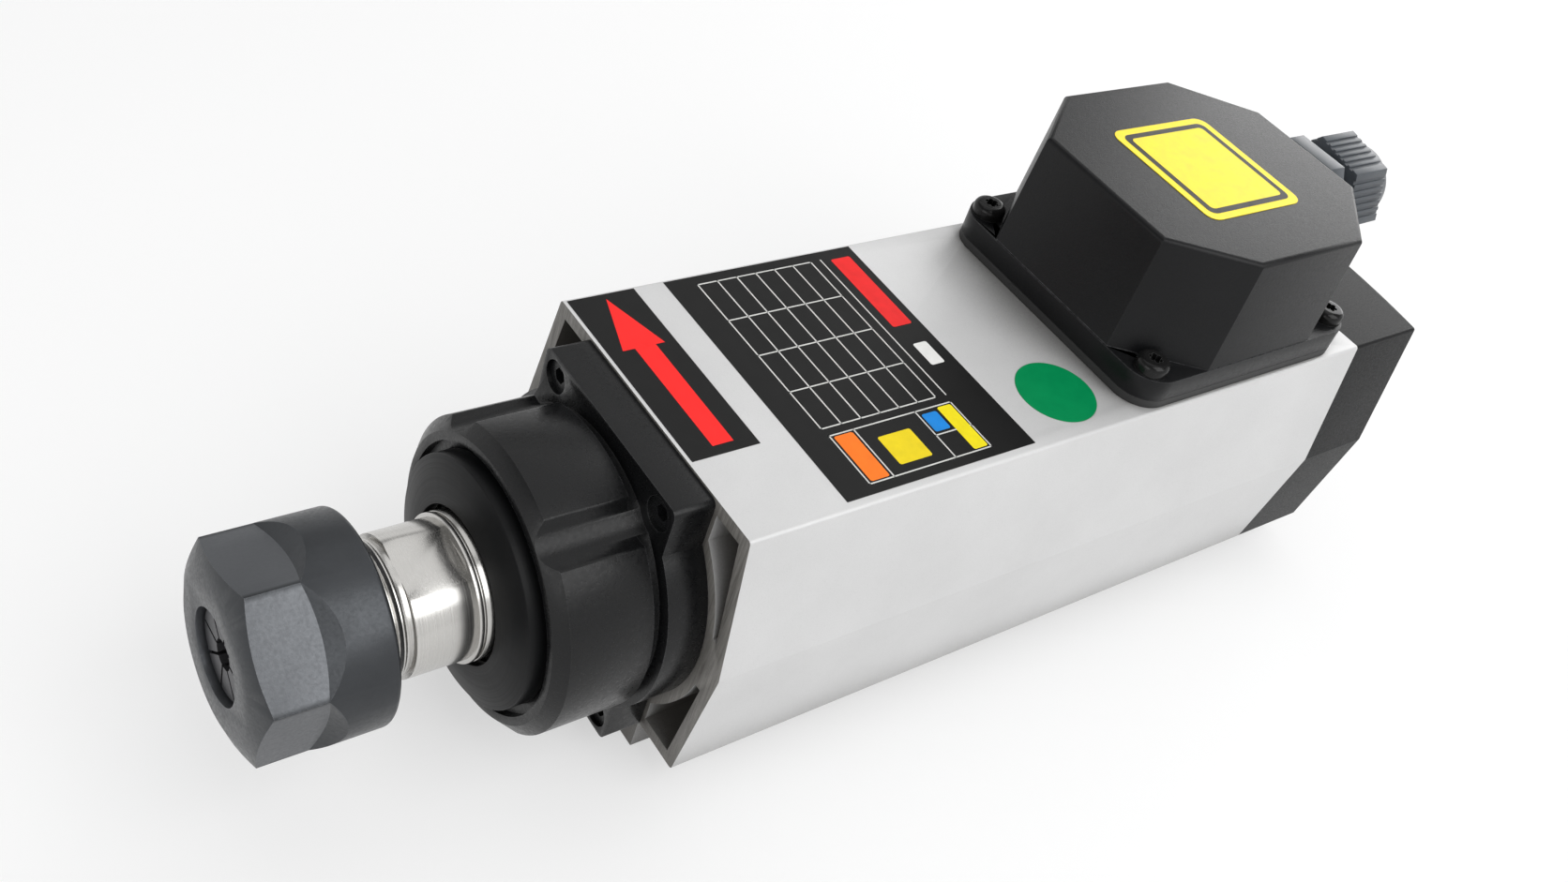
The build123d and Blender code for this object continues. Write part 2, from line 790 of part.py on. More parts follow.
with BuildPart() as fan_clip:
    ring(fan_rear, fan_rear + clip_width, tail_radius + seat_gap, clip_radius)
    with BuildSketch(across(fan_rear)):
        with Locations((clip_radius, 0)):
            Rectangle(clip_radius, tail_radius)
    extrude(amount=clip_width, mode=Mode.SUBTRACT)
save(fan_clip, "fan_clip")

cover_rear = rear_x + cover_depth
cover_side = rear_x + cover_edge_depth
crown_reach = ridge_width / 2 + free_gap
with BuildPart() as rear_cover:
    with BuildSketch(across(rear_x)):
        add(housing_outline())
    extrude(amount=cover_depth)
    with BuildSketch(Plane.XY):
        with BuildLine():
            ThreePointArc((cover_side, -crown_reach), (cover_rear, 0), (cover_side, crown_reach))
            Polyline((cover_side, crown_reach), (rear_x, crown_reach),
                     (rear_x, -crown_reach), (cover_side, -crown_reach))
        make_face()
    extrude(amount=2 * body_top, mode=Mode.INTERSECT)
    fillet(rear_cover.faces().sort_by(Axis.X)[-1].edges(), cover_edge_radius)
    with BuildSketch(across(rear_x)):
        add(housing_outline(cover_wall))
    extrude(amount=shield_flange, mode=Mode.SUBTRACT)
    with BuildSketch(across(rear_x + shield_flange)):
        add(housing_outline(cover_wall))
        with GridLocations(2 * corner_screw_y, 2 * tie_screw_z, 2, 2):
            Circle(cover_post_radius, mode=Mode.SUBTRACT)
    extrude(amount=cover_edge_depth - cover_wall - shield_flange, mode=Mode.SUBTRACT)
    with Locations(across(cover_rear)):
        with GridLocations(2 * corner_screw_y, 2 * tie_screw_z, 2, 2):
            CounterBoreHole(screw_hole_radius, cap_head_radius + seat_gap, cover_sink + cap_head_height)
    with BuildSketch(across(cover_side - 2 * cover_wall)):
        for row in range(-grille_rows, grille_rows + 1):
            level = row * grille_pitch
            with Locations((0, level)):
                SlotOverall(2 * math.sqrt(grille_radius ** 2 - level ** 2), grille_slot)
    extrude(amount=cover_depth, mode=Mode.SUBTRACT)
save(rear_cover, "rear_cover")

with BuildPart() as rear_tie_screws:
    tie_seat = cover_rear - cover_sink - cap_head_height
    extrude(corner_circles(across(tie_seat), cap_head_radius, tie_screw_z), amount=cap_head_height)
    extrude(corner_circles(across(rear_x - corner_thread_depth + 2), screw_radius, tie_screw_z),
            amount=tie_seat - rear_x + corner_thread_depth - thread_runout)
    with BuildSketch(across(tie_seat + cap_head_height)):
        with GridLocations(2 * corner_screw_y, 2 * tie_screw_z, 2, 2):
            RegularPolygon(hex_socket_width / 2, 6, major_radius=False)
    extrude(amount=-cap_head_height / 2, mode=Mode.SUBTRACT)
save(rear_tie_screws, "rear_tie_screws")

# ---------------------------------------------------------------- terminal box

with BuildPart() as box_gasket:
    with BuildSketch(Plane.XY.offset(body_top)):
        with Locations((box_x, 0)):
            RectangleRounded(box_length, box_width, box_corner_radius)
            with GridLocations(box_screw_pitch_x, box_screw_pitch_y, 2, 2):
                Circle(screw_hole_radius, mode=Mode.SUBTRACT)
        add(box_octagon(Plane.XY.offset(body_top), gasket_band / 2), mode=Mode.SUBTRACT)
    extrude(amount=gasket_height)
save(box_gasket, "box_gasket")

with BuildPart() as terminal_box_cover:
    extrude(box_octagon(Plane.XY.offset(gasket_top)), amount=box_top - gasket_top, taper=draft_angle)
    fillet(terminal_box_cover.faces().sort_by(Axis.Z)[-1].edges(), box_edge_radius)
    with BuildSketch(Plane.XY.offset(gasket_top)):
        with Locations((box_x, 0)):
            RectangleRounded(box_length, box_width, box_corner_radius)
    extrude(amount=box_lug_height)
    extrude(box_octagon(Plane.XY.offset(gasket_top), box_wall),
            amount=box_top - gasket_top - box_wall, taper=draft_angle, mode=Mode.SUBTRACT)
    with BuildSketch(across(gland_x, gland_z)):
        Circle(gland_boss_radius)
    extrude(amount=-gland_boss_depth)
    with BuildSketch(Plane.XY.offset(gasket_top)):
        with Locations((box_x, 0)):
            with GridLocations(box_screw_pitch_x, box_screw_pitch_y, 2, 2):
                Circle(screw_hole_radius)
    extrude(amount=box_lug_height, mode=Mode.SUBTRACT)
    with BuildSketch(across(gland_x, gland_z)):
        Circle(gland_inner_radius + running_gap)
    extrude(amount=-gland_boss_depth, mode=Mode.SUBTRACT)
save(terminal_box_cover, "terminal_box_cover")

with BuildPart() as box_cover_screws:
    with BuildSketch(Plane.XY.offset(lug_top)) as heads:
        with Locations((box_x, 0)):
            with GridLocations(box_screw_pitch_x, box_screw_pitch_y, 2, 2):
                Circle(pan_head_radius)
    extrude(amount=pan_head_height)
    fillet(box_cover_screws.faces().group_by(Axis.Z)[-1].edges(), pan_head_height / 2)
    with BuildSketch(Plane.XY.offset(lug_top)):
        with Locations((box_x, 0)):
            with GridLocations(box_screw_pitch_x, box_screw_pitch_y, 2, 2):
                Circle(screw_radius)
    extrude(amount=body_top - box_screw_thread - lug_top)
    with BuildSketch(Plane.XY.offset(lug_top + pan_head_height)):
        with Locations((box_x, 0)):
            with GridLocations(box_screw_pitch_x, box_screw_pitch_y, 2, 2):
                with PolarLocations(lobe_circle, 6):
                    Circle(lobe_radius)
                Circle(lobe_core)
    extrude(amount=-pan_head_height / 2, mode=Mode.SUBTRACT)
save(box_cover_screws, "box_cover_screws")

with BuildPart() as terminal_block:
    with BuildSketch(Plane.XY.offset(body_top)):
        with Locations((box_x, 0)):
            Rectangle(block_length, block_width)
            with GridLocations(2 * block_screw_offset, 0, 2, 1):
                Circle(screw_hole_radius, mode=Mode.SUBTRACT)
    extrude(amount=block_height / 2)
    with BuildSketch(Plane.XY.offset(body_top + block_height / 2)):
        with Locations((box_x, 0)):
            with GridLocations(terminal_pitch, 0, terminal_count + 1, 1):
                Rectangle(block_rib, block_width)
    extrude(amount=block_height / 2)
save(terminal_block, "terminal_block")

with BuildPart() as terminal_screws:
    with BuildSketch(Plane.XY.offset(body_top + block_height / 2)):
        with Locations((box_x, 0)):
            with GridLocations(terminal_pitch, 0, terminal_count, 1):
                Circle(terminal_radius)
    extrude(amount=terminal_height)
    with BuildSketch(Plane.XY.offset(body_top + block_height / 2 + terminal_height)):
        with Locations((box_x, 0)):
            with GridLocations(terminal_pitch, 0, terminal_count, 1):
                Rectangle(2 * terminal_radius, terminal_radius / 4)
    extrude(amount=-terminal_height / 3, mode=Mode.SUBTRACT)
save(terminal_screws, "terminal_screws")

with BuildPart() as block_screws:
    with BuildSketch(Plane.XY.offset(body_top - wall)):
        with Locations((box_x, 0)):
            with GridLocations(2 * block_screw_offset, 0, 2, 1):
                Circle(screw_radius)
    extrude(amount=wall + block_height / 2)
    with BuildSketch(Plane.XY.offset(body_top + block_height / 2)):
        with Locations((box_x, 0)):
            with GridLocations(2 * block_screw_offset, 0, 2, 1):
                Circle(cap_head_radius)
    extrude(amount=terminal_height)
save(block_screws, "block_screws")

with BuildPart() as earth_screw:
    with BuildSketch(Plane.XY.offset(body_top - wall)):
        with Locations((box_x + earth_screw_x, earth_screw_y)):
            Circle(screw_radius)
    extrude(amount=wall + terminal_height)
    with BuildSketch(Plane.XY.offset(body_top)):
        with Locations((box_x + earth_screw_x, earth_screw_y)):
            Circle(cap_head_radius)
    extrude(amount=terminal_height)
save(earth_screw, "earth_screw")

with BuildPart() as lead_grommet:
    with BuildSketch(Plane.XY.offset(body_top)):
        with Locations((box_x + lead_hole_x, lead_hole_y)):
            Circle(grommet_flange_radius)
            Circle(grommet_bore, mode=Mode.SUBTRACT)
    extrude(amount=grommet_flange)
    with BuildSketch(Plane.XY.offset(body_top)):
        with Locations((box_x + lead_hole_x, lead_hole_y)):
            Circle(lead_hole_radius - seat_gap)
            Circle(grommet_bore, mode=Mode.SUBTRACT)
    extrude(amount=-wall)
save(lead_grommet, "lead_grommet")

# ---------------------------------------------------------------- cable gland

with BuildPart() as gland_body:
    turned([
        (gland_x - gland_inner_length, gland_bore),
        (gland_x - gland_inner_length, gland_inner_radius),
        (gland_hex_x, gland_inner_radius),
        (gland_thread_x, gland_inner_radius),
        (gland_thread_x, gland_thread_radius),
        (gland_thread_end, gland_thread_radius),
        (gland_thread_end, gland_seal_seat),
        (gland_seal_x, gland_seal_seat),
        (gland_seal_x, gland_bore),
    ], gland_z)
    with BuildSketch(across(gland_hex_x, gland_z)):
        RegularPolygon(gland_hex / 2, 6, major_radius=False)
        Circle(gland_inner_radius - 1, mode=Mode.SUBTRACT)
    extrude(amount=gland_hex_width)
save(gland_body, "gland_body")

with BuildPart() as gland_washer_ring:
    ring(gland_x, gland_hex_x, gland_inner_radius + running_gap, gland_hex / 2, gland_z)
save(gland_washer_ring, "gland_washer")

with BuildPart() as gland_seal:
    turned([
        (gland_seal_x, gland_seal_bore),
        (gland_seal_x, gland_seal_seat - seat_gap),
        (gland_thread_end, gland_seal_seat - seat_gap),
        (gland_seal_end, gland_seal_bore + gland_seal_flare),
        (gland_seal_end, gland_seal_bore),
    ], gland_z)
save(gland_seal, "gland_seal")

with BuildPart() as gland_pressure_ring:
    ring(gland_ring_x, gland_ring_end, gland_ring_bore, gland_ring_radius, gland_z)
save(gland_pressure_ring, "gland_pressure_ring")

gland_chamber_end = gland_ring_end + free_gap
gland_nut_end = gland_nut_x + gland_nut_length
dome_x = gland_nut_x + gland_nut_hex_length
with BuildPart() as gland_nut:
    with BuildSketch(across(gland_nut_x, gland_z, turn=gland_nut_angle)):
        RegularPolygon(gland_nut_hex / 2, 6, major_radius=False)
    extrude(amount=gland_nut_hex_length)
    chamfer(gland_nut.faces().sort_by(Axis.X)[-1].edges(), gland_nut_chamfer)
    for flat_number in range(6):
        turn = math.radians(gland_nut_angle + 60 * flat_number + 30)
        normal = Vector(0, math.cos(turn), math.sin(turn))
        middle = Vector(gland_nut_x + gland_nut_hex_length / 2, 0, gland_z) + normal * (gland_nut_hex / 2)
        with BuildSketch(Plane(middle, x_dir=(1, 0, 0), z_dir=normal)):
            with GridLocations(0, 2 * gland_rib_width, 1, gland_ribs_per_flat):
                Rectangle(gland_nut_hex_length, gland_rib_width)
        extrude(amount=-gland_rib_depth, mode=Mode.SUBTRACT)
    with BuildSketch(across(gland_nut_x, gland_z)):
        Circle(gland_thread_radius + running_gap)
    extrude(amount=gland_nut_hex_length, mode=Mode.SUBTRACT)
    turned([
        (dome_x, gland_thread_radius + running_gap),
        (dome_x, gland_dome_radius),
        (gland_nut_end - 2 * gland_nut_chamfer, gland_dome_radius - gland_nut_chamfer),
        (gland_nut_end, gland_dome_radius - 2.5 * gland_nut_chamfer),
        (gland_nut_end, gland_nut_hole),
        (gland_chamber_end, gland_nut_hole),
        (gland_chamber_end, gland_thread_radius + running_gap),
    ], gland_z)
save(gland_nut, "gland_nut")
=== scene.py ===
import json
import math

import bpy
from bpy.props import FloatProperty, FloatVectorProperty, IntProperty, PointerProperty
from bpy.types import Operator, Panel, PropertyGroup
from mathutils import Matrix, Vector


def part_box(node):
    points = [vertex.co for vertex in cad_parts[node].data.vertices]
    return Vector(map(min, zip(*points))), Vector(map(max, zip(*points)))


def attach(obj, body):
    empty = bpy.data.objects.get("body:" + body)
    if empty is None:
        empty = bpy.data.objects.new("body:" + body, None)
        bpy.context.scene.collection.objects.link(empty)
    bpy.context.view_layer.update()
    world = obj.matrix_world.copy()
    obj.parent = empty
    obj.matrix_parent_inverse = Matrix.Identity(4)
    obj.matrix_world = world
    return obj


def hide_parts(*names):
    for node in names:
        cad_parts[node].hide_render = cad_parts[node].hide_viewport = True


bl_info = {
    "name": "Motor spindle looks",
    "version": (1, 0, 0),
    "blender": (4, 5, 0),
    "location": "3D View > Sidebar > Spindle",
    "description": "Finishes, labels and threads for the motor spindle, and its studio",
    "category": "Object",
}

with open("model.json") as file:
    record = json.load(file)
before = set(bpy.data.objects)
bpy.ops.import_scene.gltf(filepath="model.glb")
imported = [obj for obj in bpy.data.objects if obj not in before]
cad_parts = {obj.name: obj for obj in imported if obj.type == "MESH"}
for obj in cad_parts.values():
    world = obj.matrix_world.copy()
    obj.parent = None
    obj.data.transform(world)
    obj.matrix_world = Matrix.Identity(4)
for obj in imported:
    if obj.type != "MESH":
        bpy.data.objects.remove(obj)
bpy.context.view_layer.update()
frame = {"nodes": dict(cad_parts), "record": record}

mm = 0.001
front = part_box("body_extrusion")[0].x
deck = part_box("box_gasket")[0].z
axis_z = (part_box("spindle_shaft")[0].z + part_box("spindle_shaft")[1].z) / 2

# Printed shapes on the top face: millimetres behind the housing's front, then across it.
arrow_label = ((0.8, -13.8), (16.6, 34.2))
arrow_shaft = ((6.9, -11.5), (11.8, 19.2))
arrow_head = ((9.05, 32.6), (4.1, 17.4), (14.0, 17.4))
nameplate = ((24, -33), (74.5, 34.2))
table_rows = [31.0 + 5.1 * step for step in range(7)]
table_columns = (31.5, 19.4, 8.0, -3.4, -14.6)
table_margin = 64.4
small_table_rows = (31.4, 37.6, 54.0, 63.9)
small_table_columns = (-16.8, -30.6)
small_table_split = -24.0
block_corner = 0.5
blocks = (
    ("red_block", (66.9, 7.0), (72.3, 31.0), (0.80, 0.02, 0.02, 1)),
    ("white_block", (67.6, -6.0), (71.4, 1.0), (0.75, 0.75, 0.73, 1)),
    ("orange_block", (32.1, -30.1), (36.9, -17.3), (0.92, 0.19, 0.015, 1)),
    ("yellow_block", (59.6, -30.1), (63.4, -17.3), (0.86, 0.72, 0.01, 1)),
    ("blue_block", (54.7, -23.2), (58.8, -18.0), (0.01, 0.23, 0.68, 1)),
    ("amber_block", (41.0, -28.4), (49.6, -20.4), (0.80, 0.62, 0.01, 1)),
)
sticker_place = (90.9, -22)

# Layers of the plate on the box, in millimetres: how far each reaches forward, back and
# sideways from the box's middle, and its corner radius.
box_plate_layers = (
    ("box_plate", 18, 14, 17, 3),
    ("box_plate_border", 16, 12, 15, 2),
    ("box_plate_field", 14.4, 10.4, 13.4, 1.2),
)

# The two threads: a ridge's flat crest starts and ends this far along from the ridge's foot.
crest_start = 0.62 * mm
crest_end = 0.88 * mm
ridge_depth = 0.3 * mm
nose_root = 13.45 * mm
nose_thread_end = 4.7 * mm
nose_hidden_ridges = 6
gland_root = 9.45 * mm
gland_thread_start = 4.5 * mm

floor_size = 12
floor_drop = 0.3 * mm
surroundings_white = 0.985
sensor_width = 36

# Name, place, point it faces, width of the square and watts.
lamps = (
    ("Overhead", (0.20, 0.25, 0.95), (0.0, 0.0, 0.05), 1.1, 3.0),
    ("Front window", (-0.80, -0.20, 0.30), (-0.10, 0.0, 0.04), 0.5, 1.2),
    ("Near side", (0.15, -0.80, 0.95), (0.0, 0.0, 0.05), 1.0, 9.8),
    ("Far corner", (0.75, 0.20, 0.35), (0.08, 0.0, 0.09), 0.5, 2.2),
)


# ------------------------------------------------------------------ settings

class FinishSettings(PropertyGroup):
    """Colours and edge sizes of the machine's finishes."""
    silver: FloatVectorProperty(
        name="Housing silver", description="Matte anodised aluminium", subtype="COLOR",
        size=4, min=0, max=1, default=(0.615, 0.615, 0.615, 1))
    casting: FloatVectorProperty(
        name="Casting black", description="Semi-gloss paint on the nose", subtype="COLOR",
        size=4, min=0, max=1, default=(0.0058, 0.0060, 0.0064, 1))
    box: FloatVectorProperty(
        name="Box black", description="Fine-grained paint on the terminal box", subtype="COLOR",
        size=4, min=0, max=1, default=(0.0050, 0.0052, 0.0058, 1))
    oxide: FloatVectorProperty(
        name="Oxide black", description="Blackened steel of the nut and cap", subtype="COLOR",
        size=4, min=0, max=1, default=(0.046, 0.049, 0.053, 1))
    steel: FloatVectorProperty(
        name="Ground steel", description="Bare ground shaft steel", subtype="COLOR",
        size=4, min=0, max=1, default=(0.57, 0.56, 0.54, 1))
    gland: FloatVectorProperty(
        name="Gland grey", description="Moulded nylon of the cable gland", subtype="COLOR",
        size=4, min=0, max=1, default=(0.062, 0.070, 0.080, 1))
    edge: FloatProperty(
        name="Edge round", description="Rounding worked into sharp machined edges",
        unit="LENGTH", default=0.25 * mm, min=0, max=1 * mm)
    # Edge band width: the bright band is partly worn paint and partly a painted highlight along
    # edges.
    edge_wear_and_highlight: FloatProperty(
        name="Worn edge", description="Width of the bright band along handled edges",
        unit="LENGTH", default=0.35 * mm, min=0.05 * mm, max=2 * mm)


class LabelSettings(PropertyGroup):
    """Sizes and colours of the labels on the top face."""
    black: FloatVectorProperty(
        name="Label black", description="Ground of the printed labels", subtype="COLOR",
        size=4, min=0, max=1, default=(0.0085, 0.0085, 0.0085, 1))
    red: FloatVectorProperty(
        name="Arrow red", description="Direction arrow", subtype="COLOR",
        size=4, min=0, max=1, default=(0.93, 0.022, 0.020, 1))
    green: FloatVectorProperty(
        name="Sticker green", description="Round sticker", subtype="COLOR",
        size=4, min=0, max=1, default=(0.0, 0.235, 0.075, 1))
    yellow: FloatVectorProperty(
        name="Plate yellow", description="Plain plate on the box", subtype="COLOR",
        size=4, min=0, max=1, default=(0.92, 0.72, 0.02, 1))
    foil: FloatProperty(
        name="Foil thickness", description="Thickness of a label", unit="LENGTH",
        default=0.12 * mm, min=0.02 * mm, max=0.5 * mm)
    ink: FloatProperty(
        name="Ink thickness", description="Thickness of a printed line or frame",
        unit="LENGTH", default=0.03 * mm, min=0.01 * mm, max=0.1 * mm)
    patch: FloatProperty(
        name="Patch thickness", description="Thickness of a printed block or arrow head",
        unit="LENGTH", default=0.04 * mm, min=0.01 * mm, max=0.1 * mm)
    line: FloatProperty(
        name="Line width", description="Width of a ruled line", unit="LENGTH",
        default=0.32 * mm, min=0.1 * mm, max=1 * mm)
    sticker: FloatProperty(
        name="Sticker thickness", description="Thickness of the round sticker",
        unit="LENGTH", default=0.1 * mm, min=0.02 * mm, max=0.5 * mm)
    sticker_radius: FloatProperty(
        name="Sticker radius", description="Radius of the round sticker", unit="LENGTH",
        default=9.4 * mm, min=4 * mm, max=12 * mm)


class ThreadSettings(PropertyGroup):
    """Pitches and crests of the two screw threads that show."""
    pitch: FloatProperty(
        name="Pitch", description="Distance from crest to crest", unit="LENGTH",
        default=1.5 * mm, min=0.5 * mm, max=3 * mm)
    nose_crest: FloatProperty(
        name="Nose crest", description="Crest radius of the nut's thread on the shaft",
        unit="LENGTH", default=13.98 * mm, min=13.5 * mm, max=14.05 * mm)
    gland_crest: FloatProperty(
        name="Gland crest", description="Crest radius of the gland's outer thread",
        unit="LENGTH", default=9.98 * mm, min=9.5 * mm, max=10 * mm)
    sides: IntProperty(
        name="Sides", description="Steps round each thread", default=96, min=24, max=180)


class StageSettings(PropertyGroup):
    """Camera and studio lighting."""
    lens: FloatProperty(
        name="Lens", description="Focal length in millimetres on a 36 mm sensor",
        default=36.066, min=20, max=100)
    place: FloatVectorProperty(
        name="Camera place", description="Where the camera stands", subtype="TRANSLATION",
        unit="LENGTH", size=3, default=(-0.24544, -0.16710, 0.27117))
    turn: FloatVectorProperty(
        name="Camera turn", description="How the camera is turned", subtype="EULER", size=3,
        default=(math.radians(47.9003), math.radians(-15.6577), math.radians(-35.0367)))
    lamp: FloatProperty(
        name="Lamp strength", description="Scales all the lamps together", default=1.0,
        min=0, max=5)
    fill: FloatProperty(
        name="Fill", description="Even light from all round", default=0.44, min=0, max=2)
    ceiling: FloatProperty(
        name="Ceiling", description="Brightness of the surroundings overhead", default=0.28,
        min=0, max=1)
    floor_glow: FloatProperty(
        name="Floor white", description="How far the floor shows as plain white",
        default=0.53, min=0, max=1)


# ------------------------------------------------------------------ materials

def node(tree, kind, **inputs):
    """Add a shader node and set its inputs, by name or number written as _0."""
    made = tree.nodes.new(kind)
    for key, value in inputs.items():
        slot = int(key[1:]) if key[0] == "_" else key.replace("_", " ")
        made.inputs[slot].default_value = value
    return made


def new_material(name, base, roughness, metallic=0.0, specular=0.5):
    """Principled material with its plain numbers on its own sockets."""
    material = bpy.data.materials.new(name)
    material.use_nodes = True
    tree = material.node_tree
    tree.nodes.clear()
    output = tree.nodes.new("ShaderNodeOutputMaterial")
    shader = node(tree, "ShaderNodeBsdfPrincipled", Base_Color=base, Roughness=roughness,
                  Metallic=metallic)
    shader.inputs["Specular IOR Level"].default_value = specular
    tree.links.new(shader.outputs["BSDF"], output.inputs["Surface"])
    material.diffuse_color = base
    return material, tree, shader


def object_coordinates(tree, scale=(1, 1, 1), place=(0, 0, 0)):
    """Object coordinates through a mapping, for grain that stays on the piece."""
    where = tree.nodes.new("ShaderNodeTexCoord")
    mapping = node(tree, "ShaderNodeMapping", Scale=scale, Location=place)
    tree.links.new(where.outputs["Object"], mapping.inputs["Vector"])
    return mapping.outputs["Vector"]


def noise(tree, vector, scale, detail=3.0, rough=0.6):
    """Noise from 0 to 1 at a scale in cells per metre."""
    made = node(tree, "ShaderNodeTexNoise", Scale=scale, Detail=detail, Roughness=rough)
    tree.links.new(vector, made.inputs["Vector"])
    return made.outputs["Fac"]


def spread(tree, value, low, high, start=0.3, end=0.7):
    """Map a 0..1 value to low..high."""
    made = node(tree, "ShaderNodeMapRange", From_Min=start, From_Max=end, To_Min=low,
                To_Max=high)
    tree.links.new(value, made.inputs["Value"])
    return made.outputs["Result"]


def blend_colour(tree, factor, first, second):
    """Mix two colours, each a value or a socket, by a socket."""
    mix = tree.nodes.new("ShaderNodeMix")
    mix.data_type = "RGBA"
    tree.links.new(factor, mix.inputs["Factor"])
    for side, colour in ((6, first), (7, second)):
        if isinstance(colour, bpy.types.NodeSocket):
            tree.links.new(colour, mix.inputs[side])
        else:
            mix.inputs[side].default_value = colour
    return mix.outputs[2]


def bump(tree, height, distance, strength=1.0, under=None):
    """Bump from a height socket, in metres, on top of another bump."""
    made = node(tree, "ShaderNodeBump", Strength=strength, Distance=distance)
    tree.links.new(height, made.inputs["Height"])
    if under:
        tree.links.new(under, made.inputs["Normal"])
    return made.outputs["Normal"]


def edge_mask(tree, width, low=0.02, high=0.22):
    """Bright along convex and concave edges: how far a rounded normal leaves the true one."""
    rounded = node(tree, "ShaderNodeBevel", Radius=width)
    rounded.samples = 6
    geometry = tree.nodes.new("ShaderNodeNewGeometry")
    dot = tree.nodes.new("ShaderNodeVectorMath")
    dot.operation = "DOT_PRODUCT"
    tree.links.new(rounded.outputs["Normal"], dot.inputs[0])
    tree.links.new(geometry.outputs["Normal"], dot.inputs[1])
    return spread(tree, dot.outputs["Value"], 1.0, 0.0, 1 - high, 1 - low)


def calculate(tree, operation, first, second=0.0):
    """Math node on two inputs, each a number or a socket."""
    made = tree.nodes.new("ShaderNodeMath")
    made.operation = operation
    for side, value in zip(made.inputs, (first, second)):
        if isinstance(value, bpy.types.NodeSocket):
            tree.links.new(value, side)
        else:
            side.default_value = value
    return made.outputs[0]


def about_axis(tree, vector):
    """How far a vector from the spindle line runs along it, and how far it stands off it."""
    split = tree.nodes.new("ShaderNodeSeparateXYZ")
    tree.links.new(vector, split.inputs[0])
    flat = tree.nodes.new("ShaderNodeCombineXYZ")
    tree.links.new(split.outputs["Y"], flat.inputs["Y"])
    tree.links.new(split.outputs["Z"], flat.inputs["Z"])
    radius = tree.nodes.new("ShaderNodeVectorMath")
    radius.operation = "LENGTH"
    tree.links.new(flat.outputs[0], radius.inputs[0])
    return split.outputs["X"], radius.outputs["Value"]


def end_facing(tree):
    """1 where a face looks along the spindle, 0 where it looks sideways."""
    geometry = tree.nodes.new("ShaderNodeNewGeometry")
    split = tree.nodes.new("ShaderNodeSeparateXYZ")
    tree.links.new(geometry.outputs["True Normal"], split.inputs[0])
    return calculate(tree, "ABSOLUTE", split.outputs["X"])


def tinted(base, factor):
    """The same colour, darker or lighter."""
    return (base[0] * factor, base[1] * factor, base[2] * factor, 1)


def clouded(tree, value, base, dark, light):
    """The base colour, from darker to lighter along a 0..1 value."""
    return blend_colour(tree, spread(tree, value, 0, 1), tinted(base, dark), tinted(base, light))


def vary_gloss(tree, shader, value, low, high):
    """Set the roughness from low to high along a 0..1 value."""
    tree.links.new(spread(tree, value, low, high), shader.inputs["Roughness"])


# bright is the colour of the edge band, which is partly worn paint and partly painted highlight.
def painted(name, base, roughness, grain, depth, edge_wear_and_highlight=0.0, bright=(0.3, 0.3, 0.31, 1),
            specular=0.2, metallic=0.0):
    """Black paint or oxide: grain in bump, cloudy tone, uneven gloss, optional bright edge band
    that is partly worn paint and partly painted highlight.
    """
    material, tree, shader = new_material(name, base, roughness, metallic, specular)
    vector = object_coordinates(tree)
    cloud = noise(tree, vector, 60, 4)
    colour = clouded(tree, cloud, base, 0.88, 1.14)
    # Bright band along convex and concave edges, broken up by scuffs: partly worn paint, partly
    # painted highlight.
    if edge_wear_and_highlight:
        scuffs = noise(tree, vector, 900, 4, 0.7)
        wear_and_highlight_edges = calculate(tree, "MULTIPLY", edge_mask(tree, edge_wear_and_highlight),
                          spread(tree, scuffs, 0.15, 0.85, 0.35, 0.65))
        colour = blend_colour(tree, wear_and_highlight_edges, colour, bright)
    tree.links.new(colour, shader.inputs["Base Color"])
    fine = noise(tree, vector, grain, 3, 0.65)
    vary_gloss(tree, shader, fine, roughness - 0.07, roughness + 0.09)
    dimples = bump(tree, fine, depth)
    tree.links.new(bump(tree, noise(tree, vector, grain / 6, 2), depth, 0.4, dimples),
                   shader.inputs["Normal"])
    return material


def flats_painted_lighter(material, skirt_radius, colour):
    """Lighten the nut's flats, which lie inside its skirt's radius, with painted sheen so they
    read lighter than the round skirt.
    """
    tree = material.node_tree
    shader = next(made for made in tree.nodes if made.type == "BSDF_PRINCIPLED")
    under = shader.inputs["Base Color"].links[0].from_socket
    radius = about_axis(tree, object_coordinates(tree, place=(0, 0, -axis_z)))[1]
    # Painted sheen: sideways-facing flats inside the skirt's radius get a lighter colour.
    inside = spread(tree, radius, 1, 0, skirt_radius - 0.5 * mm, skirt_radius - 0.1 * mm)
    sideways = spread(tree, end_facing(tree), 1, 0, 0.3, 0.6)
    painted_sheen_mask = calculate(tree, "MULTIPLY", inside, sideways)
    tree.links.new(blend_colour(tree, painted_sheen_mask, under, colour), shader.inputs["Base Color"])


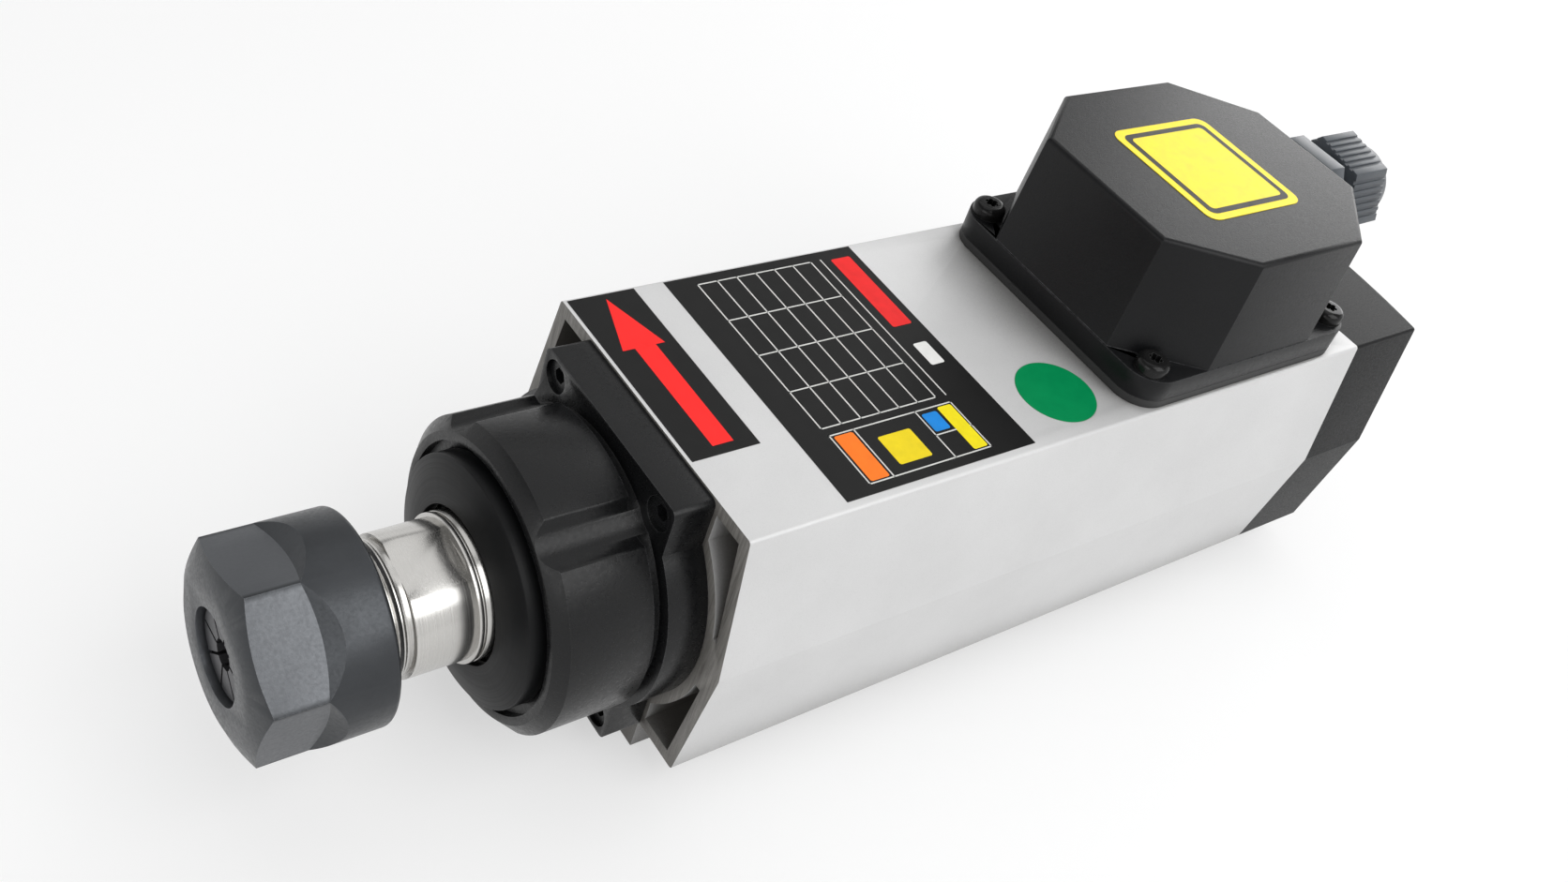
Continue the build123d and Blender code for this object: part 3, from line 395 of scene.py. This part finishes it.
def anodised(name, base):
    """Matte aluminium: blasted grain, saw marks on cut ends, and painted shade darkening
    recesses such as the duct insides.
    """
    material, tree, shader = new_material(name, base, 0.50, 0.2)
    vector = object_coordinates(tree)
    cloud = noise(tree, vector, 25, 5)
    colour = clouded(tree, cloud, base, 0.95, 1.04)
    specks = noise(tree, vector, 5200, 2, 0.8)
    colour = blend_colour(tree, spread(tree, specks, 0, 0.35, 0.55, 0.75), colour,
                          tinted(base, 0.66))
    cut_end = spread(tree, end_facing(tree), 0, 1, 0.85, 0.95)
    saw = noise(tree, object_coordinates(tree, (1, 1, 0.05)), 2200, 3, 0.7)
    sawn = blend_colour(tree, spread(tree, saw, 0, 1), (0.11, 0.105, 0.095, 1),
                        (0.26, 0.25, 0.235, 1))
    colour = blend_colour(tree, cut_end, colour, sawn)
    # Painted shade: ambient occlusion darkens the colour in recesses and duct insides, where
    # shade falls.
    painted_shade_occlusion = node(tree, "ShaderNodeAmbientOcclusion", Distance=30 * mm)
    painted_shade_occlusion.samples = 8
    inner = spread(tree, painted_shade_occlusion.outputs["AO"], 1, 0, 0.25, 0.8)
    tree.links.new(blend_colour(tree, inner, colour, (0.075, 0.070, 0.063, 1)),
                   shader.inputs["Base Color"])
    grain = noise(tree, vector, 2600, 3, 0.7)
    vary_gloss(tree, shader, grain, 0.42, 0.58)
    fine = bump(tree, grain, 0.03 * mm)
    drawn = noise(tree, object_coordinates(tree, (0.02, 1, 1)), 1800, 2)
    tree.links.new(bump(tree, drawn, 0.008 * mm, 0.6, fine), shader.inputs["Normal"])
    return material


def turned_metal(name, base, roughness, metallic, ring_pitch, ring_depth, specular=0.5):
    """Metal turned about the spindle line: fine rings in tone and bump."""
    material, tree, shader = new_material(name, base, roughness, metallic, specular)
    vector = object_coordinates(tree, place=(0, 0, -axis_z))
    along, radius = about_axis(tree, vector)
    rings = tree.nodes.new("ShaderNodeCombineXYZ")
    tree.links.new(along, rings.inputs["X"])
    tree.links.new(radius, rings.inputs["Y"])
    lines = noise(tree, rings.outputs[0], 1 / ring_pitch, 2, 0.6)
    cloud = noise(tree, vector, 90, 4)
    tone = clouded(tree, lines, base, 0.92, 1.05)
    tree.links.new(blend_colour(tree, spread(tree, cloud, 0, 0.4), tone, tinted(base, 0.85)),
                   shader.inputs["Base Color"])
    vary_gloss(tree, shader, lines, roughness - 0.04, roughness + 0.05)
    tree.links.new(bump(tree, lines, ring_depth), shader.inputs["Normal"])
    return material


def moulded(name, base, roughness, grain=3500, depth=0.01 * mm):
    """Plain moulded plastic or rubber with a fine skin and faint cloudiness."""
    material, tree, shader = new_material(name, base, roughness)
    vector = object_coordinates(tree)
    cloud = noise(tree, vector, 140, 4)
    tree.links.new(clouded(tree, cloud, base, 0.85, 1.15), shader.inputs["Base Color"])
    skin = noise(tree, vector, grain, 2)
    vary_gloss(tree, shader, skin, roughness - 0.05, roughness + 0.07)
    tree.links.new(bump(tree, skin, depth), shader.inputs["Normal"])
    return material


def printed(name, base, roughness=0.36):
    """Printed label film: nearly even colour, soft sheen, faint waviness."""
    material, tree, shader = new_material(name, base, roughness, specular=0.15)
    vector = object_coordinates(tree)
    cloud = noise(tree, vector, 300, 3)
    tree.links.new(clouded(tree, cloud, base, 0.93, 1.05), shader.inputs["Base Color"])
    wave = noise(tree, vector, 120, 2)
    vary_gloss(tree, shader, cloud, roughness - 0.04, roughness + 0.06)
    tree.links.new(bump(tree, wave, 0.02 * mm, 0.5), shader.inputs["Normal"])
    return material


# ------------------------------------------------------------------ modelling helpers

def deselect():
    """Leave edit mode and select nothing."""
    if bpy.context.object and bpy.context.object.mode != "OBJECT":
        bpy.ops.object.mode_set(mode="OBJECT")
    bpy.ops.object.select_all(action="DESELECT")


def only(piece):
    """Select one piece and make it active."""
    deselect()
    piece.select_set(True)
    bpy.context.view_layer.objects.active = piece


def settle(piece, name, body, material, smooth=30):
    """Name a finished piece, put its place into its mesh, colour it and let it ride its body."""
    only(piece)
    bpy.ops.object.transform_apply(location=True, rotation=True, scale=True)
    piece.name = name
    piece.data.name = name
    bpy.ops.object.shade_smooth_by_angle(angle=math.radians(smooth))
    piece.data.materials.clear()
    piece.data.materials.append(material)
    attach(piece, body)
    return piece


def body_with(node_name):
    """Moving body that a solid belongs to."""
    for body, nodes in frame["record"]["behaviour"]["bodies"].items():
        if node_name in nodes:
            return body
    raise RuntimeError("no body for " + node_name)


def refined(node_name, material, edge=0.0, angle=32):
    """A cleaned copy of a solid with softened edges, standing in for it."""
    mesh = frame["nodes"][node_name].data.copy()
    piece = bpy.data.objects.new(node_name + "_finished", mesh)
    bpy.context.scene.collection.objects.link(piece)
    only(piece)
    bpy.ops.object.mode_set(mode="EDIT")
    bpy.ops.mesh.select_all(action="SELECT")
    bpy.ops.mesh.remove_doubles(threshold=0.002 * mm)
    bpy.ops.mesh.dissolve_limited(angle_limit=math.radians(0.5))
    bpy.ops.object.mode_set(mode="OBJECT")
    bpy.ops.mesh.customdata_custom_splitnormals_clear()
    if edge:
        soften = piece.modifiers.new("Soft edges", "BEVEL")
        soften.width = edge
        soften.segments = 2
        soften.limit_method = "ANGLE"
        soften.angle_limit = math.radians(angle)
        bpy.ops.object.modifier_apply(modifier=soften.name)
    settle(piece, node_name + "_finished", body_with(node_name), material,
           angle)
    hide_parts(node_name)
    return piece


def coat(material, *names):
    """Give a material to solids that stay as they are."""
    for name in names:
        mesh = frame["nodes"][name].data
        mesh.materials.clear()
        mesh.materials.append(material)


def thicken(thickness, corner=0.0):
    """Raise the active flat face into a closed film, its corners rounded first."""
    bpy.ops.object.mode_set(mode="EDIT")
    bpy.ops.mesh.select_all(action="SELECT")
    if corner:
        bpy.ops.mesh.bevel(offset=corner, segments=5, affect="VERTICES")
    bpy.ops.mesh.extrude_region_move(TRANSFORM_OT_translate={"value": (0, 0, thickness)})
    bpy.ops.mesh.select_all(action="SELECT")
    bpy.ops.mesh.normals_make_consistent(inside=False)
    bpy.ops.object.mode_set(mode="OBJECT")


def plate(low, high, bottom, thickness, corner=0.0):
    """Rectangular film lying on a level face."""
    deselect()
    middle = ((low[0] + high[0]) / 2, (low[1] + high[1]) / 2, bottom)
    bpy.ops.mesh.primitive_plane_add(size=1, location=middle)
    piece = bpy.context.object
    piece.scale = (high[0] - low[0], high[1] - low[1], 1)
    bpy.ops.object.transform_apply(location=True, rotation=True, scale=True)
    thicken(thickness, corner)
    return piece


def on_top(point):
    """Place on the top face of a point given in millimetres from the housing's front."""
    return (front + point[0] * mm, point[1] * mm)


def joined(pieces):
    """Several pieces made into the first of them."""
    deselect()
    for piece in pieces:
        piece.select_set(True)
    bpy.context.view_layer.objects.active = pieces[0]
    bpy.ops.object.join()
    return pieces[0]


def spun(profile, centre_z, sides):
    """Ring from a closed (x, radius) outline, about the line along X at height centre_z."""
    deselect()
    bpy.ops.mesh.primitive_circle_add(vertices=len(profile), radius=1)
    piece = bpy.context.object
    for vertex, (x, radius) in zip(piece.data.vertices, profile):
        vertex.co = (x, 0, centre_z + radius)
    bpy.ops.object.mode_set(mode="EDIT")
    bpy.ops.mesh.select_all(action="SELECT")
    bpy.ops.mesh.spin(steps=sides, angle=2 * math.pi, center=(0, 0, centre_z), axis=(1, 0, 0))
    bpy.ops.mesh.select_all(action="SELECT")
    bpy.ops.mesh.remove_doubles(threshold=0.001 * mm)
    bpy.ops.mesh.normals_make_consistent(inside=False)
    bpy.ops.object.mode_set(mode="OBJECT")
    return piece


def ridged(start, end, root, crest, thread, centre_z, sides):
    """Ridges of a thread from start to short of end, each a ring sunk below the root."""
    ridges = []
    foot = start
    while foot + thread.pitch < end:
        ridges.append(spun([(foot, root), (foot + crest_start, crest), (foot + crest_end, crest),
                            (foot + thread.pitch, root),
                            (foot + thread.pitch, root - ridge_depth),
                            (foot, root - ridge_depth)], centre_z, sides))
        foot += thread.pitch
    return joined(ridges)


# ------------------------------------------------------------------ operators

class SPINDLE_OT_housing(Operator):
    """Matte aluminium housing with sawn ends"""
    bl_idname = "spindle.housing"
    bl_label = "Housing"

    def execute(self, context):
        finish = context.scene.spindle_finish
        silver = anodised("Matte aluminium", tuple(finish.silver))
        refined("body_extrusion", silver, edge=0.15 * mm, angle=40)
        coat(silver, "rear_shield")
        return {"FINISHED"}


class SPINDLE_OT_nose(Operator):
    """Black nose casting, its screws and the bearing cap"""
    bl_idname = "spindle.nose"
    bl_label = "Nose"

    def execute(self, context):
        finish = context.scene.spindle_finish
        paint = painted("Casting paint", tuple(finish.casting), roughness=0.30, grain=1100,
                        depth=0.035 * mm, edge_wear_and_highlight=finish.edge_wear_and_highlight * 0.8,
                        bright=(0.10, 0.10, 0.105, 1), specular=0.25)
        refined("front_housing", paint, finish.edge)
        cap = turned_metal("Blackened cap", tinted(finish.casting, 1.2), roughness=0.40,
                           metallic=0.0, ring_pitch=0.35 * mm, ring_depth=0.01 * mm,
                           specular=0.12)
        refined("front_bearing_cap", cap, finish.edge)
        oxide = painted("Screw oxide", tinted(finish.casting, 1.6), roughness=0.28, grain=1500,
                        depth=0.01 * mm)
        coat(oxide, "front_flange_screws", "rear_tie_screws")
        return {"FINISHED"}


class SPINDLE_OT_chuck(Operator):
    """Blackened collet nut, extractor ring and collet"""
    bl_idname = "spindle.chuck"
    bl_label = "Collet chuck"

    def execute(self, context):
        finish = context.scene.spindle_finish
        oxide = painted("Blackened steel", tuple(finish.oxide), roughness=0.36, grain=1500,
                        depth=0.02 * mm, edge_wear_and_highlight=finish.edge_wear_and_highlight, bright=(0.30, 0.31, 0.33, 1),
                        specular=0.5, metallic=0.75)
        # The nut's flats get a lighter colour as painted sheen.
        low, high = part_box("collet_nut")
        flats_painted_lighter(oxide, skirt_radius=(high.y - low.y) / 2, colour=(0.105, 0.110, 0.118, 1))
        refined("collet_nut", oxide, edge=0.3 * mm, angle=24)
        grey = turned_metal("Hardened collet steel", (0.10, 0.10, 0.105, 1), roughness=0.42,
                            metallic=0.8, ring_pitch=0.4 * mm, ring_depth=0.008 * mm)
        refined("collet", grey)
        coat(grey, "collet_extractor_ring")
        return {"FINISHED"}


class SPINDLE_OT_shaft(Operator):
    """Ground shaft, ridged ring and the thread behind the nut"""
    bl_idname = "spindle.shaft"
    bl_label = "Shaft"

    def execute(self, context):
        finish = context.scene.spindle_finish
        thread = context.scene.spindle_thread
        ground = turned_metal("Ground steel", tuple(finish.steel), roughness=0.24, metallic=1.0,
                              ring_pitch=0.25 * mm, ring_depth=0.001 * mm)
        refined("spindle_shaft", ground, edge=0.12 * mm, angle=35)
        refined("slinger_ring", ground, edge=0.12 * mm, angle=35)
        nut_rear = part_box("collet_nut")[1].x
        ridges = ridged(nut_rear - nose_hidden_ridges * thread.pitch, nut_rear + nose_thread_end,
                        nose_root, thread.nose_crest, thread, axis_z, thread.sides)
        settle(ridges, "nose_thread", "rotor", ground)
        return {"FINISHED"}


class SPINDLE_OT_terminal_box(Operator):
    """Terminal box, its screws and gasket"""
    bl_idname = "spindle.terminal_box"
    bl_label = "Terminal box"

    def execute(self, context):
        finish = context.scene.spindle_finish
        paint = painted("Box paint", tuple(finish.box), roughness=0.36, grain=2400,
                        depth=0.035 * mm, edge_wear_and_highlight=finish.edge_wear_and_highlight * 1.4, bright=(0.10, 0.10, 0.105, 1))
        refined("terminal_box_cover", paint, finish.edge)
        gloss = painted("Glossy screw black", (0.008, 0.008, 0.008, 1), roughness=0.16,
                        grain=900, depth=0.006 * mm, edge_wear_and_highlight=0.25 * mm,
                        bright=(0.12, 0.12, 0.12, 1))
        refined("box_cover_screws", gloss)
        rubber = moulded("Black rubber", (0.02, 0.02, 0.02, 1), roughness=0.6)
        coat(rubber, "box_gasket", "lead_grommet", "gland_seal", "gland_washer")
        return {"FINISHED"}


class SPINDLE_OT_gland(Operator):
    """Cable gland and the thread between its hexagons"""
    bl_idname = "spindle.gland"
    bl_label = "Cable gland"

    def execute(self, context):
        finish = context.scene.spindle_finish
        thread = context.scene.spindle_thread
        nylon = moulded("Gland nylon", tuple(finish.gland), roughness=0.38)
        refined("gland_body", nylon, finish.edge)
        refined("gland_nut", nylon, edge=0.12 * mm, angle=35)
        coat(nylon, "gland_pressure_ring")
        low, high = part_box("gland_body")
        ridges = ridged(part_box("gland_nut")[0].x - gland_thread_start, high.x, gland_root,
                        thread.gland_crest, thread, (low.z + high.z) / 2, thread.sides // 2)
        settle(ridges, "gland_thread", "housing", nylon)
        return {"FINISHED"}


class SPINDLE_OT_rear(Operator):
    """Rear cover and the fan behind its slots"""
    bl_idname = "spindle.rear"
    bl_label = "Rear cover"

    def execute(self, context):
        finish = context.scene.spindle_finish
        matte = painted("Cover paint", tuple(finish.casting), roughness=0.44, grain=2000,
                        depth=0.03 * mm, edge_wear_and_highlight=finish.edge_wear_and_highlight, bright=(0.08, 0.08, 0.085, 1),
                        specular=0.12)
        refined("rear_cover", matte)
        coat(moulded("Fan nylon", (0.03, 0.03, 0.03, 1), roughness=0.45), "cooling_fan")
        return {"FINISHED"}


class SPINDLE_OT_inner(Operator):
    """Bearings, motor and wiring parts inside"""
    bl_idname = "spindle.inner"
    bl_label = "Inner parts"

    def execute(self, context):
        races = turned_metal("Bearing steel", (0.62, 0.62, 0.63, 1), roughness=0.14,
                             metallic=1.0, ring_pitch=0.3 * mm, ring_depth=0.002 * mm)
        brass = turned_metal("Brass", (0.62, 0.45, 0.17, 1), roughness=0.28,
                             metallic=1.0, ring_pitch=0.4 * mm, ring_depth=0.004 * mm)
        bright = turned_metal("Turned steel", (0.5, 0.5, 0.5, 1), roughness=0.3,
                              metallic=1.0, ring_pitch=0.4 * mm, ring_depth=0.005 * mm)
        sheets = turned_metal("Laminated core", (0.16, 0.16, 0.17, 1), roughness=0.45,
                              metallic=0.7, ring_pitch=0.5 * mm, ring_depth=0.03 * mm)
        copper = turned_metal("Varnished copper", (0.5, 0.2, 0.07, 1), roughness=0.3,
                              metallic=0.6, ring_pitch=0.6 * mm, ring_depth=0.08 * mm)
        for prefix in ("front_bearing_a", "front_bearing_b", "rear_bearing"):
            coat(races, prefix + "_outer_race", prefix + "_inner_race", prefix + "_balls")
            coat(brass, prefix + "_cage")
        coat(bright, "inner_spacer", "outer_spacer", "preload_spring", "bearing_locknut",
             "fan_clip", "block_screws", "earth_screw", "rotor_end_rings")
        coat(brass, "terminal_screws")
        coat(sheets, "stator_core", "rotor_core")
        coat(copper, "stator_windings")
        coat(moulded("Terminal nylon", (0.6, 0.57, 0.48, 1), roughness=0.5), "terminal_block")
        return {"FINISHED"}


class SPINDLE_OT_arrow_label(Operator):
    """Black label with the red arrow that shows which way the spindle turns"""
    bl_idname = "spindle.arrow_label"
    bl_label = "Arrow label"

    def execute(self, context):
        label = context.scene.spindle_label
        ground = plate(on_top(arrow_label[0]), on_top(arrow_label[1]), deck, label.foil)
        settle(ground, "arrow_label", "housing", printed("Label black", tuple(label.black)))
        top = deck + label.foil
        shaft = plate(on_top(arrow_shaft[0]), on_top(arrow_shaft[1]), top, label.ink)
        deselect()
        bpy.ops.mesh.primitive_circle_add(vertices=3, radius=1, fill_type="NGON",
                                          location=(0, 0, top))
        head = context.object
        bpy.ops.object.transform_apply(location=True)
        for vertex, corner in zip(head.data.vertices, arrow_head):
            vertex.co = (*on_top(corner), top)
        thicken(label.patch)
        settle(joined([shaft, head]), "arrow_print", "housing",
               printed("Arrow red", tuple(label.red)))
        return {"FINISHED"}


class SPINDLE_OT_nameplate(Operator):
    """Black nameplate with an empty ruled table and plain colour blocks"""
    bl_idname = "spindle.nameplate"
    bl_label = "Nameplate"

    def execute(self, context):
        label = context.scene.spindle_label
        ground = plate(on_top(nameplate[0]), on_top(nameplate[1]), deck, label.foil)
        settle(ground, "nameplate", "housing", printed("Nameplate black", tuple(label.black)))
        top = deck + label.foil

        def bar(x0, y0, x1, y1):
            """One ruled line."""
            low = on_top((min(x0, x1), min(y0, y1)))
            high = on_top((max(x0, x1), max(y0, y1)))
            return plate((low[0] - label.line / 2, low[1] - label.line / 2),
                         (high[0] + label.line / 2, high[1] + label.line / 2), top, label.ink)

        def table(rows, columns):
            """Lines across at each row and along at each column."""
            return ([bar(x, columns[0], x, columns[-1]) for x in rows]
                    + [bar(rows[0], y, rows[-1], y) for y in columns])

        rules = table(table_rows, table_columns) + table(small_table_rows, small_table_columns)
        rules.append(bar(small_table_rows[-2], small_table_split, small_table_rows[-1],
                         small_table_split))
        rules.append(bar(table_margin, table_columns[0], table_margin, table_columns[-1]))
        settle(joined(rules), "nameplate_rules", "housing",
               printed("Rule white", (0.62, 0.62, 0.60, 1)))
        for name, low, high, colour in blocks:
            block = plate(on_top(low), on_top(high), top, label.patch, block_corner * mm)
            settle(block, name, "housing", printed(name.replace("_", " "), colour))
        return {"FINISHED"}


class SPINDLE_OT_sticker(Operator):
    """Plain round sticker between the nameplate and the box"""
    bl_idname = "spindle.sticker"
    bl_label = "Round sticker"

    def execute(self, context):
        label = context.scene.spindle_label
        deselect()
        bpy.ops.mesh.primitive_circle_add(vertices=72, radius=label.sticker_radius,
                                          fill_type="NGON",
                                          location=(*on_top(sticker_place), deck))
        disc = context.object
        thicken(label.sticker)
        settle(disc, "round_sticker", "housing",
               printed("Sticker green", tuple(label.green), roughness=0.4))
        return {"FINISHED"}


class SPINDLE_OT_box_plate(Operator):
    """Plain yellow plate with a black border on the terminal box"""
    bl_idname = "spindle.box_plate"
    bl_label = "Box plate"

    def execute(self, context):
        label = context.scene.spindle_label
        low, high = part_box("terminal_box_cover")
        middle = (low.x + high.x) / 2
        films = (("Plate yellow", label.yellow, 0.38, label.foil),
                 ("Border black", label.black, 0.36, label.ink),
                 ("Field yellow", label.yellow, 0.38, label.ink))
        bottom = high.z
        for layer, (film, colour, roughness, thickness) in zip(box_plate_layers, films):
            name, fore, aft, side, corner = layer
            piece = plate((middle - fore * mm, -side * mm), (middle + aft * mm, side * mm),
                          bottom, thickness, corner * mm)
            settle(piece, name, "housing", printed(film, tuple(colour), roughness))
            bottom += thickness
        return {"FINISHED"}


def seen_directly(tree):
    """1 for camera, glossy and transmission rays, 0 for the rays that carry light."""
    path = tree.nodes.new("ShaderNodeLightPath")
    value = path.outputs["Is Camera Ray"]
    for other in ("Is Glossy Ray", "Is Transmission Ray"):
        value = calculate(tree, "MAXIMUM", value, path.outputs[other])
    return value


def mix_shaders(tree, factor, first, second, output):
    """Send the mix of two shaders to the output of a material or the world."""
    mix = tree.nodes.new("ShaderNodeMixShader")
    for side, socket in zip(mix.inputs, (factor, first.outputs[0], second.outputs[0])):
        tree.links.new(socket, side)
    tree.links.new(mix.outputs[0], output.inputs["Surface"])


class SPINDLE_OT_stage(Operator):
    """Pale floor, soft lamps, white surroundings and the camera"""
    bl_idname = "spindle.stage"
    bl_label = "Stage"

    def execute(self, context):
        stage = context.scene.spindle_stage
        deselect()
        bpy.ops.mesh.primitive_plane_add(size=floor_size, location=(0, 0, -floor_drop))
        floor = context.object
        floor.name = "floor"
        material, tree, shader = new_material("Floor", (0.84, 0.84, 0.84, 1), 0.6, specular=0.0)
        cloud = noise(tree, object_coordinates(tree), 3, 2)
        pale = blend_colour(tree, cloud, (0.835, 0.835, 0.835, 1), (0.85, 0.85, 0.85, 1))
        tree.links.new(pale, shader.inputs["Base Color"])
        glow = node(tree, "ShaderNodeEmission", Color=(1, 1, 1, 1), Strength=1.0)
        output = next(made for made in tree.nodes if made.type == "OUTPUT_MATERIAL")
        lit = calculate(tree, "MULTIPLY", seen_directly(tree), stage.floor_glow)
        mix_shaders(tree, lit, shader, glow, output)
        floor.data.materials.append(material)

        world = bpy.data.worlds.new("Studio")
        context.scene.world = world
        world.use_nodes = True
        tree = world.node_tree
        tree.nodes.clear()
        output = tree.nodes.new("ShaderNodeOutputWorld")
        fill = node(tree, "ShaderNodeBackground", Color=(1, 1, 1, 1), Strength=stage.fill)
        white = node(tree, "ShaderNodeBackground", Color=(1, 1, 1, 1))
        where = tree.nodes.new("ShaderNodeTexCoord")
        split = tree.nodes.new("ShaderNodeSeparateXYZ")
        tree.links.new(where.outputs["Generated"], split.inputs[0])
        overhead = spread(tree, split.outputs["Z"], surroundings_white, stage.ceiling, 0.25, 0.6)
        tree.links.new(overhead, white.inputs["Strength"])
        mix_shaders(tree, seen_directly(tree), fill, white, output)

        for name, place, aim, size, power in lamps:
            deselect()
            bpy.ops.object.light_add(type="AREA", location=place)
            lamp = context.object
            lamp.name = name
            lamp.data.size = size
            lamp.data.energy = power * stage.lamp
            facing = Vector(aim) - Vector(place)
            lamp.rotation_euler = facing.to_track_quat("-Z", "Y").to_euler()

        bpy.ops.object.camera_add(location=stage.place, rotation=stage.turn)
        camera = context.object
        camera.data.sensor_width = sensor_width
        camera.data.lens = stage.lens
        camera.data.clip_start = 0.01
        camera.data.clip_end = 50
        context.scene.camera = camera
        context.scene.view_settings.view_transform = "Standard"
        return {"FINISHED"}


class SPINDLE_PT_looks(Panel):
    """Sidebar list of the spindle's pieces."""
    bl_idname = "SPINDLE_PT_looks"
    bl_label = "Motor spindle"
    bl_space_type = "VIEW_3D"
    bl_region_type = "UI"
    bl_category = "Spindle"

    def draw(self, context):
        for operator in operators:
            self.layout.operator(operator.bl_idname)
        for group in groups:
            settings = getattr(context.scene, group)
            column = self.layout.column()
            for name in settings.__annotations__:
                column.prop(settings, name)


groups = {
    "spindle_finish": FinishSettings,
    "spindle_label": LabelSettings,
    "spindle_thread": ThreadSettings,
    "spindle_stage": StageSettings,
}
operators = (
    SPINDLE_OT_housing, SPINDLE_OT_nose, SPINDLE_OT_chuck, SPINDLE_OT_shaft,
    SPINDLE_OT_terminal_box, SPINDLE_OT_gland, SPINDLE_OT_rear, SPINDLE_OT_inner,
    SPINDLE_OT_arrow_label, SPINDLE_OT_nameplate, SPINDLE_OT_sticker, SPINDLE_OT_box_plate,
    SPINDLE_OT_stage,
)


def register():
    for name, group in groups.items():
        bpy.utils.register_class(group)
        setattr(bpy.types.Scene, name, PointerProperty(type=group))
    for operator in operators:
        bpy.utils.register_class(operator)
    bpy.utils.register_class(SPINDLE_PT_looks)


def unregister():
    bpy.utils.unregister_class(SPINDLE_PT_looks)
    for operator in reversed(operators):
        bpy.utils.unregister_class(operator)
    for name, group in groups.items():
        delattr(bpy.types.Scene, name)
        bpy.utils.unregister_class(group)


def main():
    register()
    bpy.ops.spindle.housing()
    bpy.ops.spindle.nose()
    bpy.ops.spindle.chuck()
    bpy.ops.spindle.shaft()
    bpy.ops.spindle.terminal_box()
    bpy.ops.spindle.gland()
    bpy.ops.spindle.rear()
    bpy.ops.spindle.inner()
    bpy.ops.spindle.arrow_label()
    bpy.ops.spindle.nameplate()
    bpy.ops.spindle.sticker()
    bpy.ops.spindle.box_plate()
    bpy.ops.spindle.stage()


if __name__ == "__main__":
    main()
